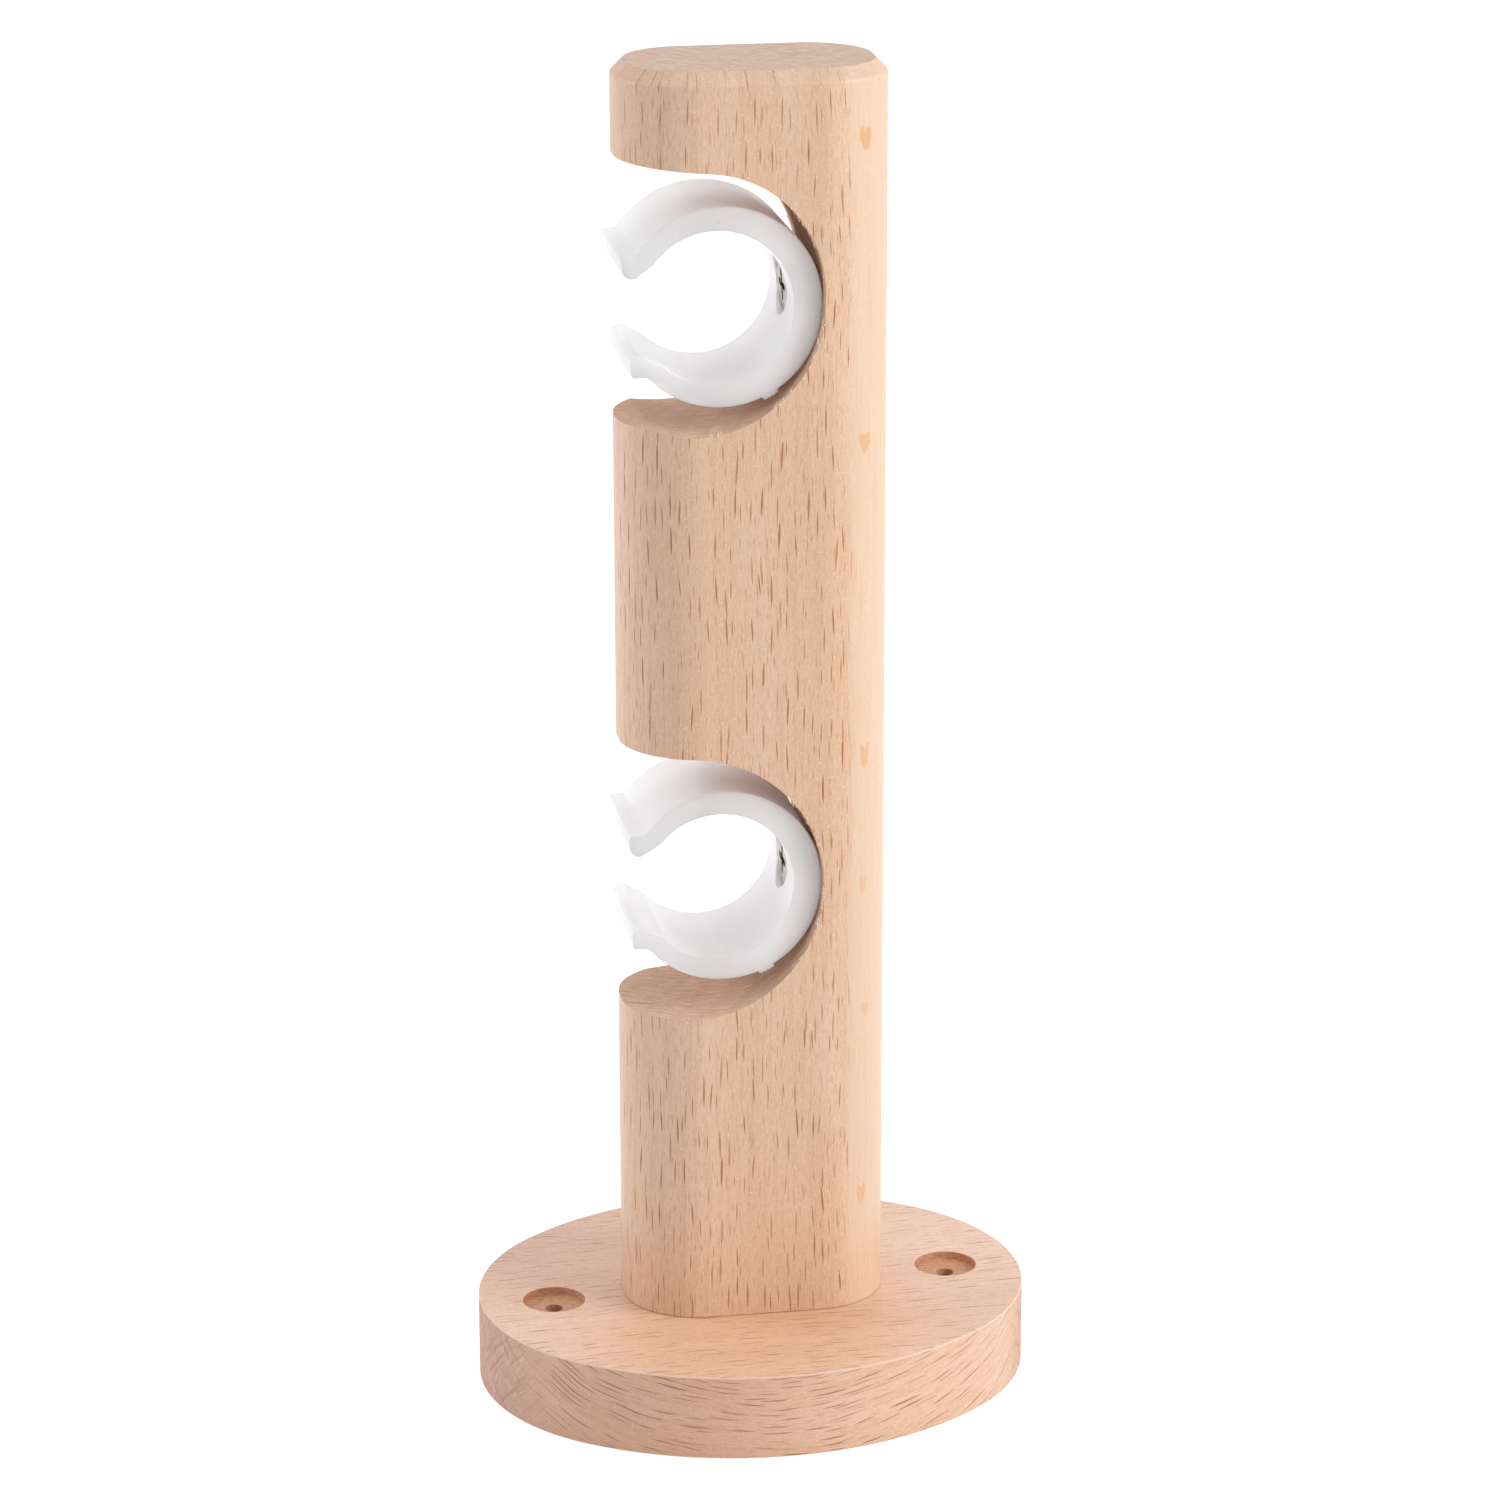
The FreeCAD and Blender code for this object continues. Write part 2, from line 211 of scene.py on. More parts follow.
WHITE = (1, 1, 1, 1)


# Meshes

def mesh_object(name, mesh):
    made = bpy.data.objects.new(name, mesh)
    bpy.context.scene.collection.objects.link(made)
    return made


def arc(centre, radius, start, end, steps):
    """Points of an arc in a plane, by angles in radians, both ends included."""
    return [(centre[0] + radius * cos(start + (end - start) * i / steps),
             centre[1] + radius * sin(start + (end - start) * i / steps))
            for i in range(steps + 1)]


def closed_mesh(name, work):
    """The mesh of finished work, its faces turned outwards."""
    bmesh.ops.recalc_face_normals(work, faces=work.faces)
    mesh = bpy.data.meshes.new(name)
    work.to_mesh(mesh)
    work.free()
    return mesh


def from_rings(name, rings):
    """Closed mesh of rings with equally many points, joined in a row and capped at both ends."""
    work = bmesh.new()
    loops = [[work.verts.new(point) for point in ring] for ring in rings]
    count = len(loops[0])
    for lower, upper in zip(loops, loops[1:]):
        for i in range(count):
            j = (i + 1) % count
            work.faces.new((lower[i], lower[j], upper[j], upper[i]))
    work.faces.new(loops[0][::-1])
    work.faces.new(loops[-1])
    return closed_mesh(name, work)


def lathe(name, profile, steps):
    """Closed mesh of (radius, height) points turned round Z, the first and last on the axis."""
    work = bmesh.new()
    low = work.verts.new((0, 0, profile[0][1]))
    high = work.verts.new((0, 0, profile[-1][1]))
    turns = [2 * pi * i / steps for i in range(steps)]
    loops = [[work.verts.new((radius * cos(turn), radius * sin(turn), height))
              for turn in turns] for radius, height in profile[1:-1]]
    for i in range(steps):
        j = (i + 1) % steps
        work.faces.new((low, loops[0][j], loops[0][i]))
        work.faces.new((loops[-1][i], loops[-1][j], high))
        for lower, upper in zip(loops, loops[1:]):
            work.faces.new((lower[i], lower[j], upper[j], upper[i]))
    return closed_mesh(name, work)


def evaluated(made):
    """The object's mesh with its modifiers applied, put back as its plain mesh."""
    graph = bpy.context.evaluated_depsgraph_get()
    mesh = bpy.data.meshes.new_from_object(made.evaluated_get(graph))
    made.modifiers.clear()
    made.data = mesh
    return made


def cut(made, cutters, operation="DIFFERENCE"):
    """Cut meshes out of an object, or join them to it."""
    tools = []
    for mesh in cutters:
        tool = mesh_object("cutter", mesh)
        tools.append(tool)
        step = made.modifiers.new("cut", "BOOLEAN")
        step.operation = operation
        step.solver = "EXACT"
        step.object = tool
    bpy.context.view_layer.update()
    evaluated(made)
    for tool in tools:
        bpy.data.objects.remove(tool)
    return made


def modified(made, kind, **settings):
    """The object under one modifier with some settings."""
    step = made.modifiers.new("step", kind)
    for name, value in settings.items():
        setattr(step, name, value)
    bpy.context.view_layer.update()
    return evaluated(made)


def soften(made, width, angle, segments):
    """Round the edges that are sharper than an angle."""
    return modified(made, "BEVEL", width=width, segments=segments, limit_method="ANGLE",
                    angle_limit=angle, use_clamp_overlap=True, miter_outer="MITER_ARC")


def shade(made, angle):
    """Smooth shading that keeps flat faces flat."""
    made.data.shade_smooth()
    made.data.set_sharp_from_angle(angle=angle)
    return modified(made, "WEIGHTED_NORMAL", weight=100, keep_sharp=True)


def mark_faces(made, name, chosen):
    """Give the faces a number for the material: 1 where their centre and normal are chosen."""
    marks = made.data.attributes.new(name, "FLOAT", "FACE")
    for face in made.data.polygons:
        marks.data[face.index].value = 1.0 if chosen(face.center, face.normal) else 0.0


def finish_piece(made, material, nodes):
    """Give a piece its material and its body, and hide the nodes it stands for."""
    made.data.materials.clear()
    made.data.materials.append(material)
    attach(made, BODY)
    if nodes:
        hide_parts(*nodes)
    return made


# Node helpers

class Value:
    """A number socket; + - * / on it add Math nodes."""

    def __init__(self, nodes, socket):
        self.nodes = nodes
        self.socket = socket

    def math(self, operation, *others):
        return self.nodes.maths(operation, self, *others)

    def __add__(self, other):
        return self.math("ADD", other)

    def __mul__(self, other):
        return self.math("MULTIPLY", other)

    def __sub__(self, other):
        return self.math("SUBTRACT", other)

    def __truediv__(self, other):
        return self.math("DIVIDE", other)

    def __rsub__(self, other):
        return self.nodes.maths("SUBTRACT", other, self)

    __radd__ = __add__
    __rmul__ = __mul__

    def size(self):
        return self.math("ABSOLUTE")

    def clamped(self):
        return self.math("MAXIMUM", 0.0).math("MINIMUM", 1.0)

    def ramp(self, low, high):
        """0 at low, 1 at high, and smooth between them; low may be the larger."""
        node = self.nodes.node("ShaderNodeMapRange", {"interpolation_type": "SMOOTHSTEP"},
                               {"Value": self, "From Min": low, "From Max": high})
        return Value(self.nodes, node.outputs["Result"])


class Nodes:
    """A node tree while it is made."""

    def __init__(self, tree):
        self.tree = tree

    def node(self, kind, settings=None, sockets=None):
        """Add a node: first its settings, then its sockets' values or links.

        A node given as a value stands for its first output.
        """
        made = self.tree.nodes.new(kind)
        for name, value in (settings or {}).items():
            setattr(made, name, value)
        for name, value in (sockets or {}).items():
            if isinstance(value, Value):
                value = value.socket
            elif isinstance(value, bpy.types.Node):
                value = value.outputs[0]
            if isinstance(value, bpy.types.NodeSocket):
                self.tree.links.new(value, made.inputs[name])
            else:
                made.inputs[name].default_value = value
        return made

    def value(self, node, output=0):
        return Value(self, node.outputs[output])

    def maths(self, operation, *terms):
        return self.value(self.node("ShaderNodeMath", {"operation": operation},
                                    dict(enumerate(terms))))


class Finish(Nodes):
    """The shader of a material, or of the world, while it is made."""

    def __init__(self, owner):
        owner.use_nodes = True
        super().__init__(owner.node_tree)
        self.owner = owner
        self.tree.nodes.clear()

    def vectors(self, operation, first, second):
        return self.node("ShaderNodeVectorMath", {"operation": operation},
                         {0: first, 1: second}).outputs[0]

    def mix(self, share, first, second):
        """Colour between two colours."""
        def full(colour):
            return colour if isinstance(colour, bpy.types.NodeSocket) else (*colour, 1.0)[:4]
        return self.node("ShaderNodeMix", {"data_type": "RGBA"},
                         {0: share, 6: full(first), 7: full(second)}).outputs[2]

    def millimetres(self):
        """Object coordinates in millimetres."""
        place = self.node("ShaderNodeTexCoord").outputs["Object"]
        return self.vectors("DIVIDE", place, (MM, MM, MM))

    def stretched(self, vector, size, turn=(0, 0, 0)):
        """A vector turned back by some angles and then divided by a size along each axis."""
        return self.node("ShaderNodeMapping", {"vector_type": "TEXTURE"},
                         {"Vector": vector, "Scale": size, "Rotation": turn}).outputs[0]

    def split(self, vector):
        node = self.node("ShaderNodeSeparateXYZ", {}, {0: vector})
        return [self.value(node, i) for i in range(3)]

    def joined(self, *values):
        return self.node("ShaderNodeCombineXYZ", {}, dict(enumerate(values))).outputs[0]

    def noise(self, vector, size, detail=2.0, turn=(0, 0, 0)):
        """Noise round 0.5 whose grains have a size in millimetres along each axis."""
        return self.value(self.node("ShaderNodeTexNoise", {},
                                    {"Vector": self.stretched(vector, size, turn),
                                     "Scale": 1.0, "Detail": detail}))

    def marked(self, name):
        """A number that the mesh carries."""
        return self.value(self.node("ShaderNodeAttribute", {"attribute_name": name}), "Fac")

    def facing(self, direction):
        """How far the surface faces a direction or its opposite, from 0 to 1."""
        normal = self.node("ShaderNodeNewGeometry").outputs["Normal"]
        node = self.node("ShaderNodeVectorMath", {"operation": "DOT_PRODUCT"},
                         {0: normal, 1: direction})
        return self.value(node, "Value").size()

    def bump(self, height, strength, distance):
        return self.node("ShaderNodeBump", {}, {"Height": height, "Strength": strength,
                                                "Distance": distance}).outputs[0]

    def output(self, shader, kind="Material"):
        self.node("ShaderNodeOutput" + kind, {}, {"Surface": shader})
        return self.owner


def tinted(colour, red, green, blue):
    return (colour[0] * red, colour[1] * green, colour[2] * blue)


# Finishes

def spindles(finish, surface, cell, half, keep):
    """Ray flecks: 1 inside a pointed fleck, 0 outside, on a surface of (across, along).

    cell is their spacing and half the half size of the largest, both across and along in
    millimetres; keep is the share of the cells that hold a fleck.
    """
    spot = finish.stretched(surface, (*cell, 1))
    near = finish.node("ShaderNodeTexVoronoi", {"voronoi_dimensions": "2D"},
                       {"Vector": spot, "Scale": 1.0, "Randomness": 0.9})
    away = finish.vectors("SUBTRACT", spot, near.outputs["Position"])
    across, along, _ = finish.split(finish.vectors("MULTIPLY", away, (*cell, 0)))
    lot, depth, lean = finish.split(near.outputs["Color"])
    kept = lot.ramp(1 - keep, 1.01 - keep)
    size = (lot - (1 - keep)) * (0.5 / keep) + 0.5
    across = across + (lean - 0.4) * along * FLECK_LEAN
    reach = along / (size * half[1])
    inside = (1 - reach * reach) * size * half[0] - across.size()
    return inside.ramp(0.0, FLECK_SOFTNESS) * kept * (depth * 0.5 + 0.5)


def stained(finish, ground, colour, *layers):
    """A colour under layers of grain: each a noise, its range, its share and its tint."""
    for grain, low, high, share, tint in layers:
        colour = finish.mix(grain.ramp(low, high) * share, colour, tinted(ground, *tint))
    return colour


def along_grain(finish, ground, fleck, surface, flecks):
    """Colour and height of beech cut along its fibres; flecks is how much of them shows."""
    fine = finish.noise(surface, (0.24, 1.7, 1), 3.0)
    grit = finish.noise(surface, (0.20, 0.55, 1), 1.0)
    streak = finish.noise(surface, (0.8, 22, 1), 2.0)
    broad = finish.noise(surface, (9, 70, 1), 1.0)
    colour = finish.mix(broad.ramp(0.3, 0.7), tinted(ground, 0.97, 0.95, 0.92),
                        tinted(ground, 1.03, 1.05, 1.08))
    colour = stained(finish, ground, colour,
                     (streak, 0.42, 0.68, 0.6, (0.90, 0.83, 0.75)),
                     (fine, 0.44, 0.68, 0.6, (0.86, 0.77, 0.66)),
                     (grit, 0.56, 0.70, 0.55, (1.16, 1.24, 1.34)))
    height = fine * -0.35 - flecks * 0.6 + grit * 0.3
    return finish.mix(flecks.clamped(), colour, fleck), height


def across_grain(finish, ground, place, turn):
    """Colour of beech cut across its fibres: short pale rays, fine pores, faint rings."""
    rays = finish.noise(place, (0.30, 2.4, 2.4), 1.0, turn)
    dark_rays = finish.noise(place, (0.34, 5.0, 5.0), 1.0, turn)
    pores = finish.noise(place, (0.28, 0.28, 0.28), 1.0)
    rings = finish.noise(place, (14, 1.3, 14), 1.0, turn)
    return stained(finish, ground, ground,
                   (rings, 0.48, 0.66, 0.45, (0.88, 0.81, 0.74)),
                   (pores, 0.48, 0.68, 0.65, (0.82, 0.73, 0.66)),
                   (dark_rays, 0.56, 0.68, 0.6, (0.76, 0.65, 0.56)),
                   (rays, 0.55, 0.65, 0.75, (1.16, 1.24, 1.32)))


def sanded(finish, colour, height, end_grain):
    """Material of fine-sanded bare wood, duller on its end grain."""
    rough = height * -0.05 + end_grain * 0.42 + 0.44
    shader = finish.node("ShaderNodeBsdfPrincipled", {},
                         {"Base Color": colour, "Roughness": rough, "Specular IOR Level": 0.5,
                          "Normal": finish.bump(height, 0.30, 0.06 * MM)})
    return finish.output(shader)


def round_post(finish, place, width, depth, corner):
    """A post's surface: how far round its section from the middle of the front, and height."""
    x, y, z = finish.split(place)
    flat_x, flat_y = width / 2 - corner, depth / 2 - corner
    past_x = (x.size() - flat_x).math("MAXIMUM", 0.0)
    past_y = (y.size() - flat_y).math("MAXIMUM", 0.0)
    way = (x.size().math("MINIMUM", flat_x) + past_x.math("ARCTAN2", past_y) * corner
           + (flat_y - y.size()).math("MAXIMUM", 0.0))
    return way * x.math("SIGN") + y.math("GREATER_THAN", 0.0) * BACK_SHIFT, z


def post_wood(colours, sizes):
    """Beech of the post, with a pale band and its marks along one corner; the band's paleness is
    partly the wood's figure and partly painted sheen and light from the right lamp.
    """
    finish = Finish(bpy.data.materials.new("beech post"))
    ground, fleck = tuple(colours.post), tuple(colours.post_fleck)
    place = finish.millimetres()
    width, depth, _ = box_size("post")
    around, up = round_post(finish, place, width / MM, depth / MM, sizes.corner / MM)
    sway = finish.noise(finish.joined(around, up, 0.0), (16, 34, 1), 1.0)
    around = around + (sway - 0.5) * POST_SWAY
    surface = finish.joined(around, up, 0.0)

    wavering = (finish.noise(surface, (2.0, 5.0, 1), 2.0) - 0.5) * BAND_RAGGEDNESS + around
    pale_band_and_sheen = wavering.ramp(*BAND_FADES_IN) * wavering.ramp(*BAND_FADES_OUT)
    rays = spindles(finish, surface, (1.25, 6.2), (0.17, 2.8), 0.62)
    small_rays = spindles(finish, surface, (0.75, 3.4), (0.10, 1.3), 0.5) * 0.6
    flecks = (rays + small_rays) * (1 - pale_band_and_sheen * 0.80)
    colour, height = along_grain(finish, ground, fleck, surface, flecks)
    dashes = finish.noise(surface, (1.3, 0.30, 1), 1.0).ramp(0.58, 0.70)
    lines = finish.noise(surface, (0.35, 14, 1), 1.0).ramp(0.52, 0.66)
    # Paler band: partly the wood's figure, partly painted sheen and light on the lit right corner
    for share, tint in ((pale_band_and_sheen * 0.65, (1.02, 1.12, 1.20)),
                        (pale_band_and_sheen * dashes * 0.4, (0.98, 0.88, 0.76)),
                        (pale_band_and_sheen * lines * 0.4, (0.96, 0.90, 0.84))):
        colour = finish.mix(share, colour, tinted(ground, *tint))
    for mark_up, half_width, half_height, depth_of_colour in BAND_MARKS:
        rise = up - mark_up
        arm = (around - BAND_MARK_AROUND).size() - rise * 0.20 - half_width * 0.30
        arm, rise = arm / (half_width * 0.75), rise / half_height
        ragged = finish.noise(surface, (0.4, 0.9, 1), 1.0) * 1.3
        spot = (arm * arm + rise * rise + ragged).ramp(2.1, 1.2)
        colour = finish.mix(spot * depth_of_colour, colour, MARK_COLOUR)

    end_cut = finish.facing((0, 0, 1)).ramp(0.55, 0.95)
    cut = (end_cut + finish.marked("cut_face")).clamped()
    inside = across_grain(finish, tuple(colours.cut), place, (0, 0, radians(60)))
    end = across_grain(finish, tuple(colours.end_grain), place, (0, 0, radians(45)))
    colour = finish.mix(cut, colour, finish.mix(finish.marked("cut_face"), end, inside))
    return sanded(finish, colour, height * (1 - cut * 0.7), cut)


def base_wood(colours, turn):
    """Beech of the base, its fibres along the oval's length."""
    finish = Finish(bpy.data.materials.new("beech base"))
    ground, fleck = tuple(colours.base), tuple(colours.base_fleck)
    place = finish.stretched(finish.millimetres(), (1, 1, 1), (0, 0, turn))
    x, y, z = finish.split(place)
    sway = finish.noise(place, (30, 12, 12), 1.0)
    side = 1 - finish.facing((0, 0, 1)).ramp(0.2, 0.8)
    surface = finish.joined(y * (1 - side * 0.5) - z + (sway - 0.5) * BASE_SWAY, x, 0.0)

    top_rays = spindles(finish, surface, (1.35, 6.4), (0.14, 2.7), 0.78)
    side_rays = spindles(finish, surface, (0.85, 5.8), (0.14, 3.0), 0.70)
    small_rays = spindles(finish, surface, (0.75, 3.4), (0.09, 1.2), 0.45) * 0.5
    flecks = top_rays * (1 - side) + side_rays * side + small_rays
    end_cut = finish.facing((cos(turn), sin(turn), 0)).ramp(0.72, 0.96)
    colour, height = along_grain(finish, ground, fleck, surface, flecks * (1 - end_cut * 0.75))
    ends = across_grain(finish, tinted(ground, 0.84, 0.77, 0.80),
                        finish.joined(y, z, x), (0, 0, radians(38)))
    for slope, spacing, strength in ((-40, 1.0, 0.6), (52, 0.8, 0.5)):
        lines = finish.noise(place, (9, 9, spacing), 1.0, (radians(slope), 0, 0))
        ends = finish.mix(lines.ramp(0.60, 0.67) * strength, ends, tinted(ground, 0.62, 0.50, 0.46))
    colour = finish.mix(end_cut * 0.9, colour, ends)

    # Painted shade: the base's side darker towards the left, away from the right lamp
    painted_left_shade = x.ramp(8.0, -14.0) * side * (1 - end_cut)
    # Painted bounce light: the top warmer in front of the post, where the post reflects its orange
    # light
    painted_post_bounce = (x * x * 0.0011 + (y + 18) * (y + 18) * 0.0030).math("SQRT").ramp(1.5, 0.2)
    # Painted sheen: the top paler towards the right, where the right lamp and grazing reflections
    # fall
    painted_right_sheen = x.ramp(6.0, 26.0) * (1 - side)
    for share, tint in ((painted_left_shade * 0.8, (0.88, 0.80, 0.76)), (painted_post_bounce * 0.5, (1.01, 0.83, 0.60)),
                        (painted_right_sheen * 0.7, (1.04, 1.09, 1.15))):
        colour = finish.mix(share, colour, finish.vectors("MULTIPLY", colour, tint))
    # Painted highlight along the top rim's rounding, partly the paler sanded edge
    colour = finish.mix(finish.marked("sanded_rim_highlight") * 0.45, colour, tinted(ground, 1.15, 1.25, 1.35))
    # Inside the wall holes: darker, browner drilled wood, partly painted shade in the holes
    bore_wood_and_shade = finish.noise(place, (0.9, 0.35, 0.35), 2.0).ramp(0.35, 0.70)
    bore_wood_and_shade = finish.mix(bore_wood_and_shade, *(tinted(ground, *tint) for tint in BORE_WOOD_AND_SHADE_TINTS))
    colour = finish.mix(finish.marked("bore_wood_and_shade"), colour, bore_wood_and_shade)
    return sanded(finish, colour, height, end_cut)


def milky_plastic():
    """Moulded translucent plastic with a glossy skin, less clear by its seat and pinker there, the
    pink being painted bounce light from the wood.
    """
    finish = Finish(bpy.data.materials.new("milky plastic"))
    place = finish.millimetres()
    cloud = finish.noise(place, (12, 12, 12))
    skin = finish.noise(place, (1.1, 1.1, 1.1))
    dust = finish.noise(place, (0.9, 0.9, 0.9), 0.0)
    colour = finish.mix(cloud.ramp(0.3, 0.7), (0.955, 0.952, 0.972), (0.98, 0.976, 0.99))
    # Painted bounce light: pinker towards the seat, next to the wood
    by_seat = finish.split(place)[0].ramp(-9.0, 2.0)
    colour = finish.mix(by_seat, colour, (0.995, 0.932, 0.955))
    colour = finish.mix(dust.ramp(0.80, 0.84) * 0.35, colour, (0.55, 0.53, 0.52))
    outside = {"Base Color": colour, "Coat Weight": 1.0, "Coat Roughness": 0.32,
               "Normal": finish.bump(skin, 0.10, 0.05 * MM)}
    solid = finish.node("ShaderNodeBsdfPrincipled", {},
                        {**outside, "Roughness": 0.38, "IOR": 1.49, "Subsurface Weight": 1.0,
                         "Subsurface Radius": (1.0, 0.95, 0.95), "Subsurface Scale": 3.5 * MM,
                         "Specular IOR Level": 0.9})
    clear = finish.node("ShaderNodeBsdfPrincipled", {},
                        {**outside, "Roughness": 0.7, "IOR": 1.10, "Transmission Weight": 1.0})
    both = finish.node("ShaderNodeMixShader", {},
                       {0: by_seat * -0.30 + 0.5, 1: solid, 2: clear})
    return finish.output(both)


def nickel():
    """Nickel-plated steel with fine marks from tumbling, and painted shade inside the recess."""
    finish = Finish(bpy.data.materials.new("nickel-plated steel"))
    place = finish.millimetres()
    cloud = finish.noise(place, (1.4, 1.4, 1.4), 3.0)
    marks = finish.noise(place, (0.17, 0.33, 0.11), 3.0)
    colour = finish.mix(cloud.ramp(0.35, 0.7), (0.40, 0.38, 0.35), (0.20, 0.19, 0.16))
    # Painted shade: the recess walls darkened
    colour = finish.mix(finish.marked("recess") * 0.9, colour, (0.10, 0.075, 0.05))
    rough = cloud * 0.18 + 0.24
    shader = finish.node("ShaderNodeBsdfPrincipled", {},
                         {"Base Color": colour, "Metallic": 1.0, "Roughness": rough,
                          "Normal": finish.bump(marks, 0.25, 0.03 * MM)})
    return finish.output(shader)


# Geometry Nodes helper

class Tree(Nodes):
    """One Geometry Nodes tree while it is made, with named inputs."""

    def __init__(self, name, inputs):
        super().__init__(bpy.data.node_groups.new(name, "GeometryNodeTree"))
        sockets = self.tree.interface
        sockets.new_socket("Geometry", in_out="OUTPUT", socket_type="NodeSocketGeometry")
        sockets.new_socket("Geometry", in_out="INPUT", socket_type="NodeSocketGeometry")
        self.identifiers = {}
        for label, kind, value in inputs:
            socket = sockets.new_socket(label, in_out="INPUT", socket_type="NodeSocket" + kind)
            if value is not None:
                socket.default_value = value
            self.identifiers[label] = socket.identifier
        self.source = self.node("NodeGroupInput")
        self.sink = self.node("NodeGroupOutput")

    def given(self, label):
        return self.source.outputs[label]

    def end(self, geometry, material):
        """Real geometry with its material, out of the tree."""
        real = self.node("GeometryNodeRealizeInstances", {}, {"Geometry": geometry})
        painted = self.node("GeometryNodeSetMaterial", {},
                            {"Geometry": real, "Material": material})
        self.tree.links.new(painted.outputs[0], self.sink.inputs[0])

    def grow(self, name, guide, values):
        """The plain mesh that the tree makes from a guide mesh."""
        made = mesh_object(name, guide)
        step = made.modifiers.new("grow", "NODES")
        step.node_group = self.tree
        for label, value in values.items():
            step[self.identifiers[label]] = value
        bpy.context.view_layer.update()
        return evaluated(made)


def place_guide(name):
    """Mesh of one point at each clip's place, with the clip's turn."""
    places = [clip_place(*pair) for pair in both_notches()]
    mesh = bpy.data.meshes.new(name)
    mesh.from_pydata([place for place, _ in places], [], [])
    turns = mesh.attributes.new("turn", "FLOAT", "POINT")
    for i, (_, turn) in enumerate(places):
        turns.data[i].value = turn
    return mesh


def copies(material):
    """Tree that puts one object on every guide point, turned about Y by the point's turn."""
    tree = Tree("copies", [("Piece", "Object", None)])
    piece = tree.node("GeometryNodeObjectInfo", {}, {"Object": tree.given("Piece")})
    turn = tree.node("GeometryNodeInputNamedAttribute", {"data_type": "FLOAT"}, {"Name": "turn"})
    angles = tree.node("ShaderNodeCombineXYZ", {}, {"Y": turn})
    rotation = tree.node("FunctionNodeEulerToRotation", {}, {0: angles})
    placed = tree.node("GeometryNodeInstanceOnPoints", {},
                       {"Points": tree.given("Geometry"), "Instance": piece.outputs["Geometry"],
                        "Rotation": rotation})
    tree.end(placed, material)
    return tree


def thread_tree(material):
    """Tree that joins a coiled thread to a plain screw lying along +Z."""
    tree = Tree("thread", [("Start", "Float", 0.0), ("Length", "Float", 1.0),
                           ("Radius", "Float", 1.0), ("Turns", "Float", 1.0),
                           ("Depth", "Float", 0.1)])
    coil = tree.node("GeometryNodeCurveSpiral", {},
                     {"Resolution": 28, "Rotations": tree.given("Turns"),
                      "Start Radius": tree.given("Radius"), "End Radius": tree.given("Radius"),
                      "Height": tree.given("Length")})
    upright = tree.node("GeometryNodeSetCurveNormal", {"mode": "Z_UP"},
                        {"Curve": coil})
    ridge = tree.node("GeometryNodeCurvePrimitiveCircle", {},
                      {"Resolution": 3, "Radius": tree.given("Depth")})
    swept = tree.node("GeometryNodeCurveToMesh", {},
                      {"Curve": upright, "Profile Curve": ridge,
                       "Fill Caps": True})
    start = tree.node("ShaderNodeCombineXYZ", {}, {"Z": tree.given("Start")})
    moved = tree.node("GeometryNodeTransform", {},
                      {"Geometry": swept, "Translation": start})
    joined = tree.node("GeometryNodeJoinGeometry", {}, {})
    tree.tree.links.new(moved.outputs[0], joined.inputs[0])
    tree.tree.links.new(tree.given("Geometry"), joined.inputs[0])
    tree.end(joined.outputs[0], material)
    return tree


def fibre_tree(material):
    """Tree that scatters torn wood fibres along a guide line."""
    tree = Tree("torn fibres", [("Count", "Int", 100), ("Length", "Float", 0.6 * MM),
                                ("Thickness", "Float", 0.055 * MM), ("Seed", "Int", 0)])
    path = tree.node("GeometryNodeMeshToCurve", {}, {"Mesh": tree.given("Geometry")})
    spots = tree.node("GeometryNodeCurveToPoints", {"mode": "COUNT"},
                      {"Curve": path, "Count": tree.given("Count")})
    cluster = tree.node("ShaderNodeTexNoise", {}, {"Scale": 260.0, "Detail": 2.0})
    keep = tree.node("FunctionNodeCompare", {"data_type": "FLOAT", "operation": "GREATER_THAN"},
                     {0: cluster, 1: 0.53})
    stray = tree.node("FunctionNodeRandomValue", {"data_type": "FLOAT_VECTOR"},
                      {"Min": (-0.25 * MM, -0.02 * MM, -0.25 * MM),
                       "Max": (0.25 * MM, 0.08 * MM, 0.25 * MM),
                       "Seed": tree.given("Seed")})
    shifted = tree.node("GeometryNodeSetPosition", {},
                        {"Geometry": spots, "Offset": stray})
    hair = tree.node("GeometryNodeMeshCone", {},
                     {"Vertices": 4, "Radius Top": 0.0, "Radius Bottom": tree.given("Thickness"),
                      "Depth": tree.given("Length")})
    lean = tree.node("FunctionNodeRandomValue", {"data_type": "FLOAT_VECTOR"},
                     {"Min": (-0.35, -0.45, 0.0), "Max": (0.75, 0.45, 3.0),
                      "Seed": tree.given("Seed")})
    rotation = tree.node("FunctionNodeEulerToRotation", {}, {0: lean})
    size = tree.node("FunctionNodeRandomValue", {"data_type": "FLOAT"},
                     {"Min": 0.4, "Max": 1.3, "Seed": tree.given("Seed")})
    placed = tree.node("GeometryNodeInstanceOnPoints", {},
                       {"Points": shifted, "Selection": keep,
                        "Instance": hair, "Rotation": rotation,
                        "Scale": size.outputs[1]})
    tree.end(placed, material)
    return tree


# Base

def oval(length, width, inset, height, steps=24):
    """Ring of four tangent arcs, drawn inside an oval at a distance."""
    a, b = length / 2, width / 2
    diagonal = hypot(a, b)
    end_radius = (diagonal - a + b) / 2 * diagonal / a
    side_radius = (diagonal + a - b) / 2 * diagonal / b
    joint = atan2(a, b)
    points = arc((a - end_radius, 0), end_radius - inset, -joint, joint, 2 * steps)[:-1]
    points += arc((0, b - side_radius), side_radius - inset, joint, pi - joint, steps)[:-1]
    half = points + [(-x, -y) for x, y in points]
    return [(x, y, height) for x, y in half]


